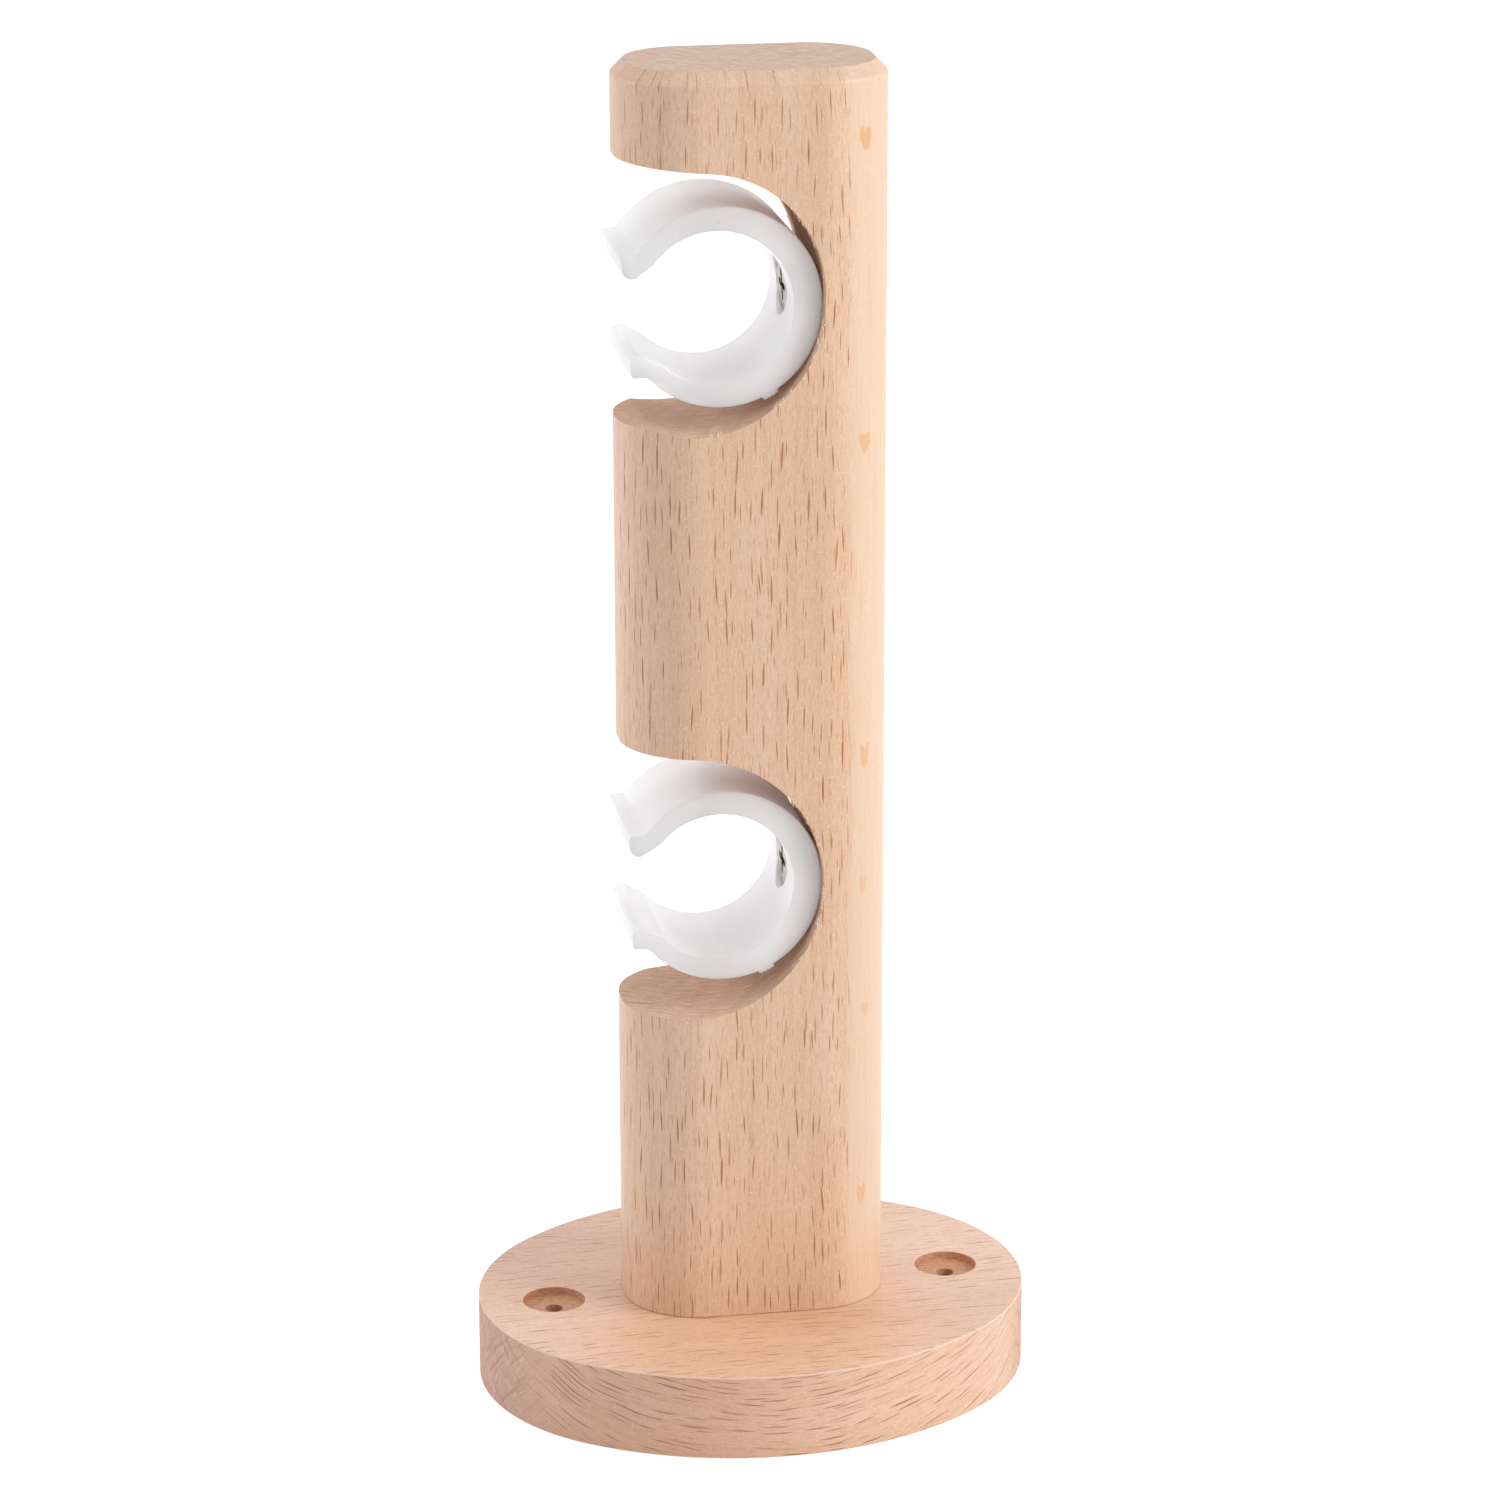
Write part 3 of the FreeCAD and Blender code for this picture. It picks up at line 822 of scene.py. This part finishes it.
def rounded_rim(radius, steps=4):
    """Pairs of inset and drop for a rounded rim, from the flat face to the side."""
    return [(radius * (1 - sin(t)), radius * (1 - cos(t)))
            for t in (pi / 2 * i / steps for i in range(steps + 1))]


class BRACKET_OT_base(bpy.types.Operator):
    """Make the oval beech base with its two sunk holes for wall screws"""

    bl_idname = "bracket.base"
    bl_label = "Base"

    def execute(self, context):
        sizes = context.scene.bracket_base
        colours = context.scene.bracket_wood
        rim = rounded_rim(sizes.rim_round)
        rings = [oval(sizes.length, sizes.width, inset, drop) for inset, drop in rim]
        rings += [oval(sizes.length, sizes.width, inset, BASE_TOP - drop)
                  for inset, drop in reversed(rim)]
        made = mesh_object("base_board", from_rings("base_board", rings))

        hole_radius = mount_size("wall_screws", "hole_r_mm")
        spacing = mount_size("wall_screws", "pcd_mm")
        edge = sizes.hole_edge
        floor = BASE_TOP - sizes.seat_depth
        margin = 3 * MM
        profile = [(0, -margin), (hole_radius, -margin), (hole_radius, floor - sizes.seat_cone),
                   (sizes.seat_radius, floor)]
        lip = arc((sizes.seat_radius + edge, BASE_TOP - edge), edge,
                  pi, radians(97), 4)
        profile += lip + [(lip[-1][0], BASE_TOP + margin), (0, BASE_TOP + margin)]
        cutters = []
        for side in (-1, 1):
            hole = lathe("wall_hole", profile, 64)
            hole.transform(Matrix.Translation((side * spacing / 2, 0, 0)))
            cutters.append(hole)
        cutters.append(head_seat("post_screw_seat", context.scene.bracket_post_screw,
                                 BASE_TOP + margin))
        cut(made, cutters)
        made.data.transform(Matrix.Rotation(sizes.turn, 4, "Z"))
        shade(made, SMOOTH_BELOW)
        out = Matrix.Rotation(sizes.turn, 3, "Z") @ Vector((spacing / 2, 0, 0))
        under = BASE_TOP - 0.1 * MM

        def bore_wood_and_shade(centre, normal):
            """Inside the hole of a wall screw."""
            flat = Vector((centre.x, centre.y, 0))
            reach = min((flat - out).length, (flat + out).length)
            return reach < sizes.seat_radius + edge / 2 and 0 < centre.z < under

        # Faces inside the wall holes, for their darker wood and painted shade
        mark_faces(made, "bore_wood_and_shade", bore_wood_and_shade)
        # Faces of the top rim's rounding, for its painted highlight and paler sanded edge
        mark_faces(made, "sanded_rim_highlight", lambda centre, normal: (
            0.1 < normal.z < 0.97 and centre.z > BASE_TOP - sizes.rim_round
            and not bore_wood_and_shade(centre, normal)))
        finish_piece(made, base_wood(colours, sizes.turn), ["base"])
        return {"FINISHED"}


# Post

def bar_ring(width, depth, corner, inset, height, steps=14):
    """Ring of a bar's section with round corners, drawn inside it at a distance."""
    x, y = width / 2 - corner, depth / 2 - corner
    points = []
    for quarter, (x_side, y_side) in enumerate(((1, 1), (-1, 1), (-1, -1), (1, -1))):
        start = pi / 2 * quarter
        points += arc((x_side * x, y_side * y), corner - inset, start, start + pi / 2, steps)
    return [(px, py, height) for px, py in points]


def soft_chamfer(size, low_soft=0.7 * MM, top_soft=0.2 * MM, steps=4):
    """Pairs of inset and drop for a chamfer with softened edges, side to top."""
    def softened(soft):
        reach = soft * tan(pi / 8)
        turns = (pi / 4 * i / steps for i in range(steps + 1))
        return [(soft * (1 - cos(t)), size + reach - soft * sin(t)) for t in turns]
    return softened(low_soft) + [(drop, inset) for inset, drop in reversed(softened(top_soft))]


def notch_outline(sizes, centre, outside, steps=40):
    """Outline of a round-ended notch that opens towards -X, as (x, z) points."""
    inset = sizes.radius - sizes.roof_radius
    roof_centre = (centre[0] + inset, centre[1] + inset)
    top = pi / 2 - sizes.top_flare
    bottom = -pi / 2 + sizes.bottom_flare - sizes.bottom_wrap
    roof = arc(roof_centre, sizes.roof_radius, 0, top, steps)
    points = arc(centre, sizes.radius, bottom, 0, steps)
    points += roof if inset > 0.01 * MM else roof[1:]
    first, last = points[0], points[-1]
    rise = (last[0] - outside) * tan(sizes.top_flare)
    drop = (first[0] - outside) * tan(sizes.bottom_flare)
    return points + [(outside, last[1] + rise), (outside, first[1] - drop)]


def notch_centre(sizes, mount_name):
    """Centre of a notch's round end, from its pole's mount."""
    pole = Vector(mount(mount_name)["pos_m"])
    end_x = POST_HIGH.x - bpy.context.scene.bracket_post.wood_behind
    ring_height = pole.z + bpy.context.scene.bracket_clip.bore_shift * sin(sizes.clip_turn)
    return (end_x - sizes.radius, ring_height + sizes.rise)


def clip_place(sizes, mount_name):
    """Where a clip's ring is, and its turn about Y."""
    clip = bpy.context.scene.bracket_clip
    bore = Vector(mount(mount_name)["pos_m"])
    shift = Vector((clip.bore_shift, 0, 0))
    shift.rotate(Matrix.Rotation(-sizes.clip_turn, 3, "Y"))
    return bore + shift, -sizes.clip_turn


def extruded(name, outline, half_length):
    """Closed mesh of an (x, z) outline drawn out along Y."""
    rings = [[(x, y, z) for x, z in outline] for y in (-half_length, half_length)]
    return from_rings(name, rings)


def both_notches():
    scene = bpy.context.scene
    return ((scene.bracket_upper_notch, "upper_pole_clip"),
            (scene.bracket_lower_notch, "lower_pole_clip"))


class BRACKET_OT_post(bpy.types.Operator):
    """Make the beech post with its chamfered end and two round-ended notches"""

    bl_idname = "bracket.post"
    bl_label = "Post"

    def execute(self, context):
        sizes = context.scene.bracket_post
        colours = context.scene.bracket_wood
        width, depth, _ = box_size("post")
        foot = [(inset, POST_LOW.z + drop) for inset, drop in rounded_rim(sizes.edge, 3)]
        head = [(inset, POST_HIGH.z - drop) for inset, drop in soft_chamfer(sizes.top_chamfer)]
        rings = [bar_ring(width, depth, sizes.corner, inset, height)
                 for inset, height in foot + head]
        made = mesh_object("post_bar", from_rings("post_bar", rings))
        cutters = []
        for notch, mount_name in both_notches():
            outline = notch_outline(notch, notch_centre(notch, mount_name), POST_LOW.x - OVERCUT)
            cutters.append(extruded("notch", outline, depth))
            place, turn = clip_place(notch, mount_name)
            pilot = screw_blank("pilot", context.scene.bracket_clip_screw)
            pilot.transform(Matrix.Translation(place) @ Matrix.Rotation(turn, 4, "Y")
                            @ into_clip())
            cutters.append(pilot)
        fixing = context.scene.bracket_post_screw
        pilot = screw_blank("pilot", fixing)
        pilot.transform(Matrix.Translation((0, 0, fixing.below_face)))
        cutters.append(pilot)
        cut(made, cutters)
        soften(made, sizes.edge, radians(40), 3)
        shade(made, SMOOTH_BELOW)
        flat = Vector((width / 2 - sizes.corner, depth / 2 - sizes.corner))

        def in_notch(centre, normal):
            """On a notch's surface, so inside the bar's section and between its ends."""
            past = Vector((max(abs(centre.x) - flat.x, 0), max(abs(centre.y) - flat.y, 0)))
            between = POST_LOW.z + MM < centre.z < POST_HIGH.z - 2 * sizes.top_chamfer
            return between and past.length < sizes.corner - 0.3 * MM

        mark_faces(made, "cut_face", in_notch)
        finish_piece(made, post_wood(colours, sizes), ["post"])
        return {"FINISHED"}


class BRACKET_OT_fibres(bpy.types.Operator):
    """Scatter torn fibres along the notches' edges, left by the cutter"""

    bl_idname = "bracket.fibres"
    bl_label = "Torn fibres"

    def execute(self, context):
        seed = context.scene.bracket_wood.fibre_seed
        finish = Finish(bpy.data.materials.new("torn fibres"))
        shader = finish.node("ShaderNodeBsdfPrincipled", {},
                             {"Base Color": FIBRE_COLOUR, "Roughness": 0.7})
        material = finish.output(shader)
        depth = box_size("post").y
        flat = box_size("post").x / 2 - context.scene.bracket_post.corner
        points, edges = [], []
        for notch, mount_name in both_notches():
            centre = notch_centre(notch, mount_name)
            outline = notch_outline(notch, centre, POST_LOW.x, 160)[:-2]
            for side in (-1, 1):
                line = [(x, side * depth / 2, z) for x, z in outline if x > -flat]
                first = len(points)
                points += line
                edges += [(first + i, first + i + 1) for i in range(len(line) - 1)]
        guide = bpy.data.meshes.new("notch_edges")
        guide.from_pydata(points, edges, [])
        made = fibre_tree(material).grow("torn_fibres", guide, {"Count": FIBRE_COUNT, "Seed": seed})
        finish_piece(made, material, [])
        return {"FINISHED"}


# Clips

def corner_round(before, corner, after, radius, steps):
    """Points of the arc that rounds a corner of two straight lines."""
    corner = Vector(corner)
    back = (Vector(before) - corner).normalized()
    ahead = (Vector(after) - corner).normalized()
    half = back.angle(ahead) / 2
    centre = corner + (back + ahead).normalized() * (radius / sin(half))
    reach = radius / tan(half)
    return arc_between(centre, corner + back * reach, corner + ahead * reach, steps)


def arc_between(centre, start, end, steps):
    """Points of the shorter arc about a centre between two of its points."""
    first = Vector(start) - Vector(centre)
    last = Vector(end) - Vector(centre)
    sweep = last.angle_signed(first)
    angle = atan2(first.y, first.x)
    return [Vector(p) for p in arc(centre, first.length, angle, angle + sweep, steps)]


def root_arc(sizes, root, corner):
    """Points of the arc that fills the corner where a lip leaves the ring's outside."""
    way = (corner - root).normalized()
    out = Vector((way.y, -way.x))
    if out.dot(root) < 0:
        out = -out
    lifted = root + out * sizes.root_round
    slope = lifted.dot(way)
    excess = lifted.length_squared - (sizes.outer_radius + sizes.root_round) ** 2
    middle = lifted + way * (sqrt(slope ** 2 - excess) - slope)
    on_ring = middle.normalized() * sizes.outer_radius
    return arc_between(middle, on_ring, middle - out * sizes.root_round, 5)


def upper_lip(sizes, bore_radius):
    """Points of the upper lip from the ring's outside to the bore."""
    nose = Vector((-sizes.lip_reach + sizes.nose_round, sizes.mouth_gap / 2 + sizes.nose_round))
    way = Vector((cos(sizes.lead_in), sin(sizes.lead_in)))
    inward = Vector((-way.y, way.x))
    bore = Vector((-sizes.bore_shift, 0))
    root_angle = pi - sizes.lip_root
    root = Vector((cos(root_angle), sin(root_angle))) * sizes.outer_radius
    nose_top = Vector((-sizes.lip_reach, nose.y))
    corner = Vector((-sizes.lip_reach, sizes.shoulder_height))
    points = root_arc(sizes, root, corner)
    points += corner_round(root, corner, nose_top, sizes.shoulder_round, 6)
    nose_end = nose - inward * sizes.nose_round
    points += arc_between(nose, nose_top, nose_end, 10)
    nib_line = nose_end + inward * sizes.nib_round
    ahead = (bore - nib_line).dot(way)
    aside = (bore - nib_line).length_squared - ahead ** 2
    reach = ahead - sqrt((bore_radius + sizes.nib_round) ** 2 - aside)
    nib = nib_line + way * reach
    nib_end = bore + (nib - bore).normalized() * bore_radius
    points += arc_between(nib, nib - inward * sizes.nib_round, nib_end, 8)
    return points


def clip_outline(sizes, bore_radius):
    """Closed outline of a clip, ring centre at the origin and mouth towards -X."""
    lip = upper_lip(sizes, bore_radius)
    lip_angle = atan2(lip[0].y, lip[0].x)
    outer = arc((0, 0), sizes.outer_radius, -lip_angle, lip_angle, 120)[1:-1]
    bore = Vector((-sizes.bore_shift, 0))
    start = (lip[-1] - bore)
    nib_angle = atan2(start.y, start.x)
    inner = arc(bore, bore_radius, nib_angle, -nib_angle, 110)[1:-1]
    mirrored = [Vector((p.x, -p.y)) for p in reversed(lip)]
    return [Vector(p) for p in outer] + lip + [Vector(p) for p in inner] + mirrored


def drawn_in(outline, distance):
    """An outline moved inwards by a distance, point by point."""
    count = len(outline)
    moved = []
    for i, point in enumerate(outline):
        before = (point - outline[i - 1]).normalized()
        after = (outline[(i + 1) % count] - point).normalized()
        along = (before + after).normalized()
        inward = Vector((-along.y, along.x))
        stretch = max(0.6, inward.dot(Vector((-after.y, after.x))))
        moved.append(point + inward * (distance / stretch))
    return moved


# Gate stub, in millimetres: its ragged outline, as pairs of place across and height, and the
# share of that height and of its width left at each step from the clip's end
GATE_OUTLINE = ((-1.30, -0.5), (-1.20, 0.34), (-0.85, 0.58), (-0.55, 0.42), (-0.25, 0.60),
                (0.10, 0.46), (0.45, 0.60), (0.80, 0.38), (1.15, 0.50), (1.30, -0.5))
GATE_STEPS = ((0.02, 0.75, 0.92), (0.45, 1.0, 1.0), (0.95, 0.70, 0.97), (1.6, 0.45, 0.85))


def gate_stub(sizes, end_y):
    """Ragged stub that was left where the clip was twisted off its moulding gate."""
    out = Vector((cos(sizes.gate_angle), 0, sin(sizes.gate_angle)))
    aside = Vector((-out.z, 0, out.x))
    rings = []
    for step, lift, spread in GATE_STEPS:
        ring = []
        for across, height in GATE_OUTLINE:
            height = height * lift if height > 0 else height
            point = out * (sizes.outer_radius + height * MM) + aside * (across * spread * MM)
            ring.append(point + Vector((0, end_y + step * MM, 0)))
        rings.append(ring)
    return from_rings("gate_stub", rings)


def into_clip():
    """Turns and moves a screw from +Z to its place in the clip's own frame."""
    clip = bpy.context.scene.bracket_clip
    bore_radius = mount_size("upper_pole_clip", "r_mm")
    below = bpy.context.scene.bracket_clip_screw.below_face
    reach = bore_radius - clip.bore_shift + below
    return Matrix.Translation((reach, 0, 0)) @ Matrix.Rotation(pi / 2, 4, "Y")


class BRACKET_OT_clips(bpy.types.Operator):
    """Make the two snap-in plastic clips that hold the poles"""

    bl_idname = "bracket.clips"
    bl_label = "Clips"

    def execute(self, context):
        sizes = context.scene.bracket_clip
        bore_radius = mount_size("upper_pole_clip", "r_mm")
        half = mount_size("upper_pole_clip", "length_mm") / 2
        outline = clip_outline(sizes, bore_radius)
        rings = []
        for inset, drop in rounded_rim(sizes.edge, 3):
            rings.append([(p.x, -half + drop, p.y) for p in drawn_in(outline, inset)])
        rings += [[(x, -y, z) for x, y, z in ring] for ring in reversed(rings)]
        source = mesh_object("clip", from_rings("clip", rings))
        cut(source, [gate_stub(sizes, -half)], "UNION")
        seat = head_seat("seat", context.scene.bracket_clip_screw, sizes.outer_radius)
        seat.transform(into_clip())
        cut(source, [seat])
        soften(source, 0.12 * MM, radians(50), 2)

        material = milky_plastic()
        made = copies(material).grow("pole_clips", place_guide("clip_places"), {"Piece": source})
        bpy.data.objects.remove(source)
        shade(made, radians(40))
        finish_piece(made, material, ["upper_clip", "lower_clip"])
        return {"FINISHED"}


# Screws

HEAD_CLEARANCE = 0.2 * MM
SHANK_CLEARANCE = 0.15 * MM
HEAD_SOFTNESS = 0.12 * MM
NECK_TAPER = (1.2 * MM, 1.6 * MM)
THREAD_BEGINS = 1.4 * MM
# Shares of the shank's radius: the point's length, the neck, and the thread's core, middle
# line and depth
POINT_LENGTH = 2.4
NECK = 0.94
CORE = 0.68
THREAD_MIDDLE = 0.78
THREAD_DEPTH = 0.2
# Shares of the recess's span: the width and the depth of its slots
SLOT_WIDTH = 0.23
SLOT_DEPTH = 0.45


def screw_heights(screw):
    """Where the cone under a screw's head ends and where its point begins."""
    return (screw.rim + screw.head_radius - screw.shank_radius,
            screw.length - POINT_LENGTH * screw.shank_radius)


def screw_blank(name, screw):
    """Solid of a countersunk screw along +Z, its flat face at z = 0."""
    head, shank = screw.head_radius, screw.shank_radius
    cone_end, point_start = screw_heights(screw)
    return lathe(name, [(0, 0), (head, 0), (head, screw.rim), (shank, cone_end),
                        (shank, point_start), (0, screw.length)], 48)


def head_seat(name, screw, reach):
    """Countersink for a screw along +Z, with its clearances."""
    recess = screw.head_radius + HEAD_CLEARANCE
    hole = screw.shank_radius + SHANK_CLEARANCE
    cone_end = screw.rim + screw.head_radius - hole
    return lathe(name, [(0, -OVERCUT), (recess, -OVERCUT), (recess, screw.rim - HEAD_CLEARANCE),
                        (hole, cone_end), (hole, reach), (0, reach)], 64)


def cross_cutter(screw, turn):
    """One wing of the cross recess, tapering inwards."""
    span = screw.recess_span
    slot, depth = span * SLOT_WIDTH, span * SLOT_DEPTH
    rings = []
    for height, share in ((-0.3 * MM, 1.02), (0.0, 1.0), (depth * 0.8, 0.5), (depth, 0.3)):
        half, thick = span / 2 * share, slot / 2 * (0.45 + 0.55 * share)
        end = arc((half - thick, 0), thick, -pi / 2, pi / 2, 8)
        ring = end + [(-x, -y) for x, y in end]
        rings.append([(x * cos(turn) - y * sin(turn),
                       x * sin(turn) + y * cos(turn), height) for x, y in ring])
    return from_rings("recess", rings)


def screw_object(name, screw, material, recess_turn):
    """Countersunk wood screw along +Z with its cross recess and thread."""
    head, shank = screw.head_radius, screw.shank_radius
    core = shank * CORE
    cone_end, point_start = screw_heights(screw)
    soft = HEAD_SOFTNESS
    neck_end, core_start = (cone_end + way for way in NECK_TAPER)
    profile = [(0, 0), (head - soft * 2, 0), (head - soft * 0.6, soft * 0.35), (head, soft),
               (head, screw.rim), (shank, cone_end), (shank * NECK, neck_end),
               (core, core_start), (core, point_start), (0, screw.length)]
    made = mesh_object(name, lathe(name, profile, 64))
    cut(made, [cross_cutter(screw, recess_turn), cross_cutter(screw, recess_turn + pi / 2)])
    soften(made, 0.06 * MM, radians(50), 2)
    # The recess walls are marked for the nickel's painted shade
    mark_faces(made, "recess", lambda centre, normal: (
        centre.z > 0.03 * MM and hypot(centre.x, centre.y) < screw.recess_span / 2
        and centre.z < screw.recess_span / 2 and normal.z < 0.2
        and hypot(centre.x, centre.y) < head - 2 * centre.z))
    thread_start = cone_end + THREAD_BEGINS
    thread_length = point_start - thread_start
    values = {"Start": thread_start, "Length": thread_length, "Radius": shank * THREAD_MIDDLE,
              "Turns": thread_length / screw.thread_pitch, "Depth": shank * THREAD_DEPTH}
    guide = made.data
    bpy.data.objects.remove(made)
    return thread_tree(material).grow(name, guide, values)


class BRACKET_OT_screws(bpy.types.Operator):
    """Make the countersunk screws of the clips and of the post"""

    bl_idname = "bracket.screws"
    bl_label = "Screws"

    def execute(self, context):
        material = nickel()
        source = screw_object("clip_screw", context.scene.bracket_clip_screw, material,
                              radians(4))
        source.data.transform(into_clip())
        guide = place_guide("screw_places")
        made = copies(material).grow("clip_screws", guide, {"Piece": source})
        bpy.data.objects.remove(source)
        shade(made, SMOOTH_BELOW)
        finish_piece(made, material, ["upper_clip_screw", "lower_clip_screw"])

        fixing = context.scene.bracket_post_screw
        made = screw_object("post_fixing_screw", fixing, material, radians(20))
        made.data.transform(Matrix.Translation((0, 0, fixing.below_face)))
        shade(made, SMOOTH_BELOW)
        finish_piece(made, material, ["post_screw"])
        return {"FINISHED"}


# Stage

def soft_light(name, place, size, power, colour):
    """Square soft light, aimed at the bracket's middle."""
    data = bpy.data.lights.new(name, "AREA")
    data.size = size
    data.energy = power
    data.color = colour
    made = bpy.data.objects.new(name, data)
    bpy.context.scene.collection.objects.link(made)
    made.location = place
    made.rotation_euler = (Vector(LAMP_AIM) - Vector(place)).to_track_quat("-Z", "Y").to_euler()
    return made


def seen_directly(finish):
    """1 for camera, glossy and transmission rays, 0 for the rest."""
    path = finish.node("ShaderNodeLightPath")
    seen = finish.value(path, "Is Camera Ray").math("MAXIMUM", finish.value(path, "Is Glossy Ray"))
    return seen.math("MAXIMUM", finish.value(path, "Is Transmission Ray"))


class BRACKET_OT_stage(bpy.types.Operator):
    """Make the pale floor, the soft lights, the world and the camera"""

    bl_idname = "bracket.stage"
    bl_label = "Stage"

    def execute(self, context):
        scene = context.scene
        floor = mesh_object("floor", bpy.data.meshes.new("floor"))
        corners = [(x * FLOOR_REACH, y * FLOOR_REACH, FLOOR_HEIGHT)
                   for x, y in ((-1, -1), (1, -1), (1, 1), (-1, 1))]
        floor.data.from_pydata(corners, [], [(0, 1, 2, 3)])
        finish = Finish(bpy.data.materials.new("white floor"))
        matt = finish.node("ShaderNodeBsdfDiffuse", {}, {"Color": FLOOR_COLOUR})
        glow = finish.node("ShaderNodeEmission", {}, {"Color": WHITE, "Strength": FLOOR_GLOW})
        bright = finish.node("ShaderNodeAddShader", {}, {0: matt, 1: glow})
        both = finish.node("ShaderNodeMixShader", {},
                           {0: seen_directly(finish), 1: matt, 2: bright})
        floor.data.materials.append(finish.output(both))

        sky = Finish(bpy.data.worlds.new("studio"))
        strength = seen_directly(sky) * (1.0 - AMBIENT) + AMBIENT
        back = sky.node("ShaderNodeBackground", {}, {"Color": WHITE, "Strength": strength})
        scene.world = sky.output(back, "World")

        for lamp_values in LAMPS:
            soft_light(*lamp_values)

        data = bpy.data.cameras.new("camera")
        data.sensor_width = SENSOR_WIDTH
        data.lens = CAMERA_LENS
        camera = bpy.data.objects.new("camera", data)
        scene.collection.objects.link(camera)
        turn = (Matrix.Rotation(CAMERA_HEADING, 3, "Z")
                @ Matrix.Rotation(pi / 2 - CAMERA_PITCH, 3, "X")
                @ Matrix.Rotation(CAMERA_ROLL, 3, "Z"))
        camera.location = CAMERA_PLACE
        camera.rotation_euler = turn.to_euler()
        scene.camera = camera
        scene.view_settings.view_transform = "Standard"
        return {"FINISHED"}


class BRACKET_PT_pieces(bpy.types.Panel):
    """Buttons for the bracket's pieces"""

    bl_label = "Curtain Pole Bracket"
    bl_space_type = "VIEW_3D"
    bl_region_type = "UI"
    bl_category = "Bracket"

    def draw(self, context):
        for operator in OPERATORS:
            self.layout.operator(operator.bl_idname)
        for name in GROUPS:
            group = getattr(context.scene, name)
            box = self.layout.box()
            for prop in group.bl_rna.properties:
                if not prop.is_readonly and prop.identifier != "name":
                    box.prop(group, prop.identifier)


OPERATORS = (BRACKET_OT_base, BRACKET_OT_post, BRACKET_OT_fibres, BRACKET_OT_clips,
             BRACKET_OT_screws, BRACKET_OT_stage)
GROUPS = {"bracket_base": BaseSizes, "bracket_post": PostSizes,
          "bracket_upper_notch": NotchSizes, "bracket_lower_notch": NotchSizes,
          "bracket_clip": ClipSizes, "bracket_clip_screw": ScrewSizes,
          "bracket_post_screw": ScrewSizes, "bracket_wood": WoodColours}


def register():
    for kind in (*dict.fromkeys(GROUPS.values()), *OPERATORS, BRACKET_PT_pieces):
        bpy.utils.register_class(kind)
    for name, kind in GROUPS.items():
        setattr(bpy.types.Scene, name, PointerProperty(type=kind))


def unregister():
    for name in GROUPS:
        delattr(bpy.types.Scene, name)
    for kind in (*dict.fromkeys(GROUPS.values()), *OPERATORS, BRACKET_PT_pieces):
        bpy.utils.unregister_class(kind)


def main():
    register()
    upper = bpy.context.scene.bracket_upper_notch
    upper.radius = 18.35 * MM
    upper.roof_radius = 17.1 * MM
    upper.rise = 0.6 * MM
    upper.top_flare = radians(4.5)
    upper.bottom_flare = radians(2)
    upper.bottom_wrap = radians(20)
    upper.clip_turn = radians(4.4)
    fixing = bpy.context.scene.bracket_post_screw
    fixing.head_radius = 5.0 * MM
    fixing.shank_radius = 2.5 * MM
    fixing.length = 45.0 * MM
    fixing.below_face = 0.4 * MM
    fixing.recess_span = 5.2 * MM
    fixing.thread_pitch = 2.4 * MM
    bpy.ops.bracket.base()
    bpy.ops.bracket.post()
    bpy.ops.bracket.fibres()
    bpy.ops.bracket.clips()
    bpy.ops.bracket.screws()
    bpy.ops.bracket.stage()


if __name__ == "__main__":
    main()
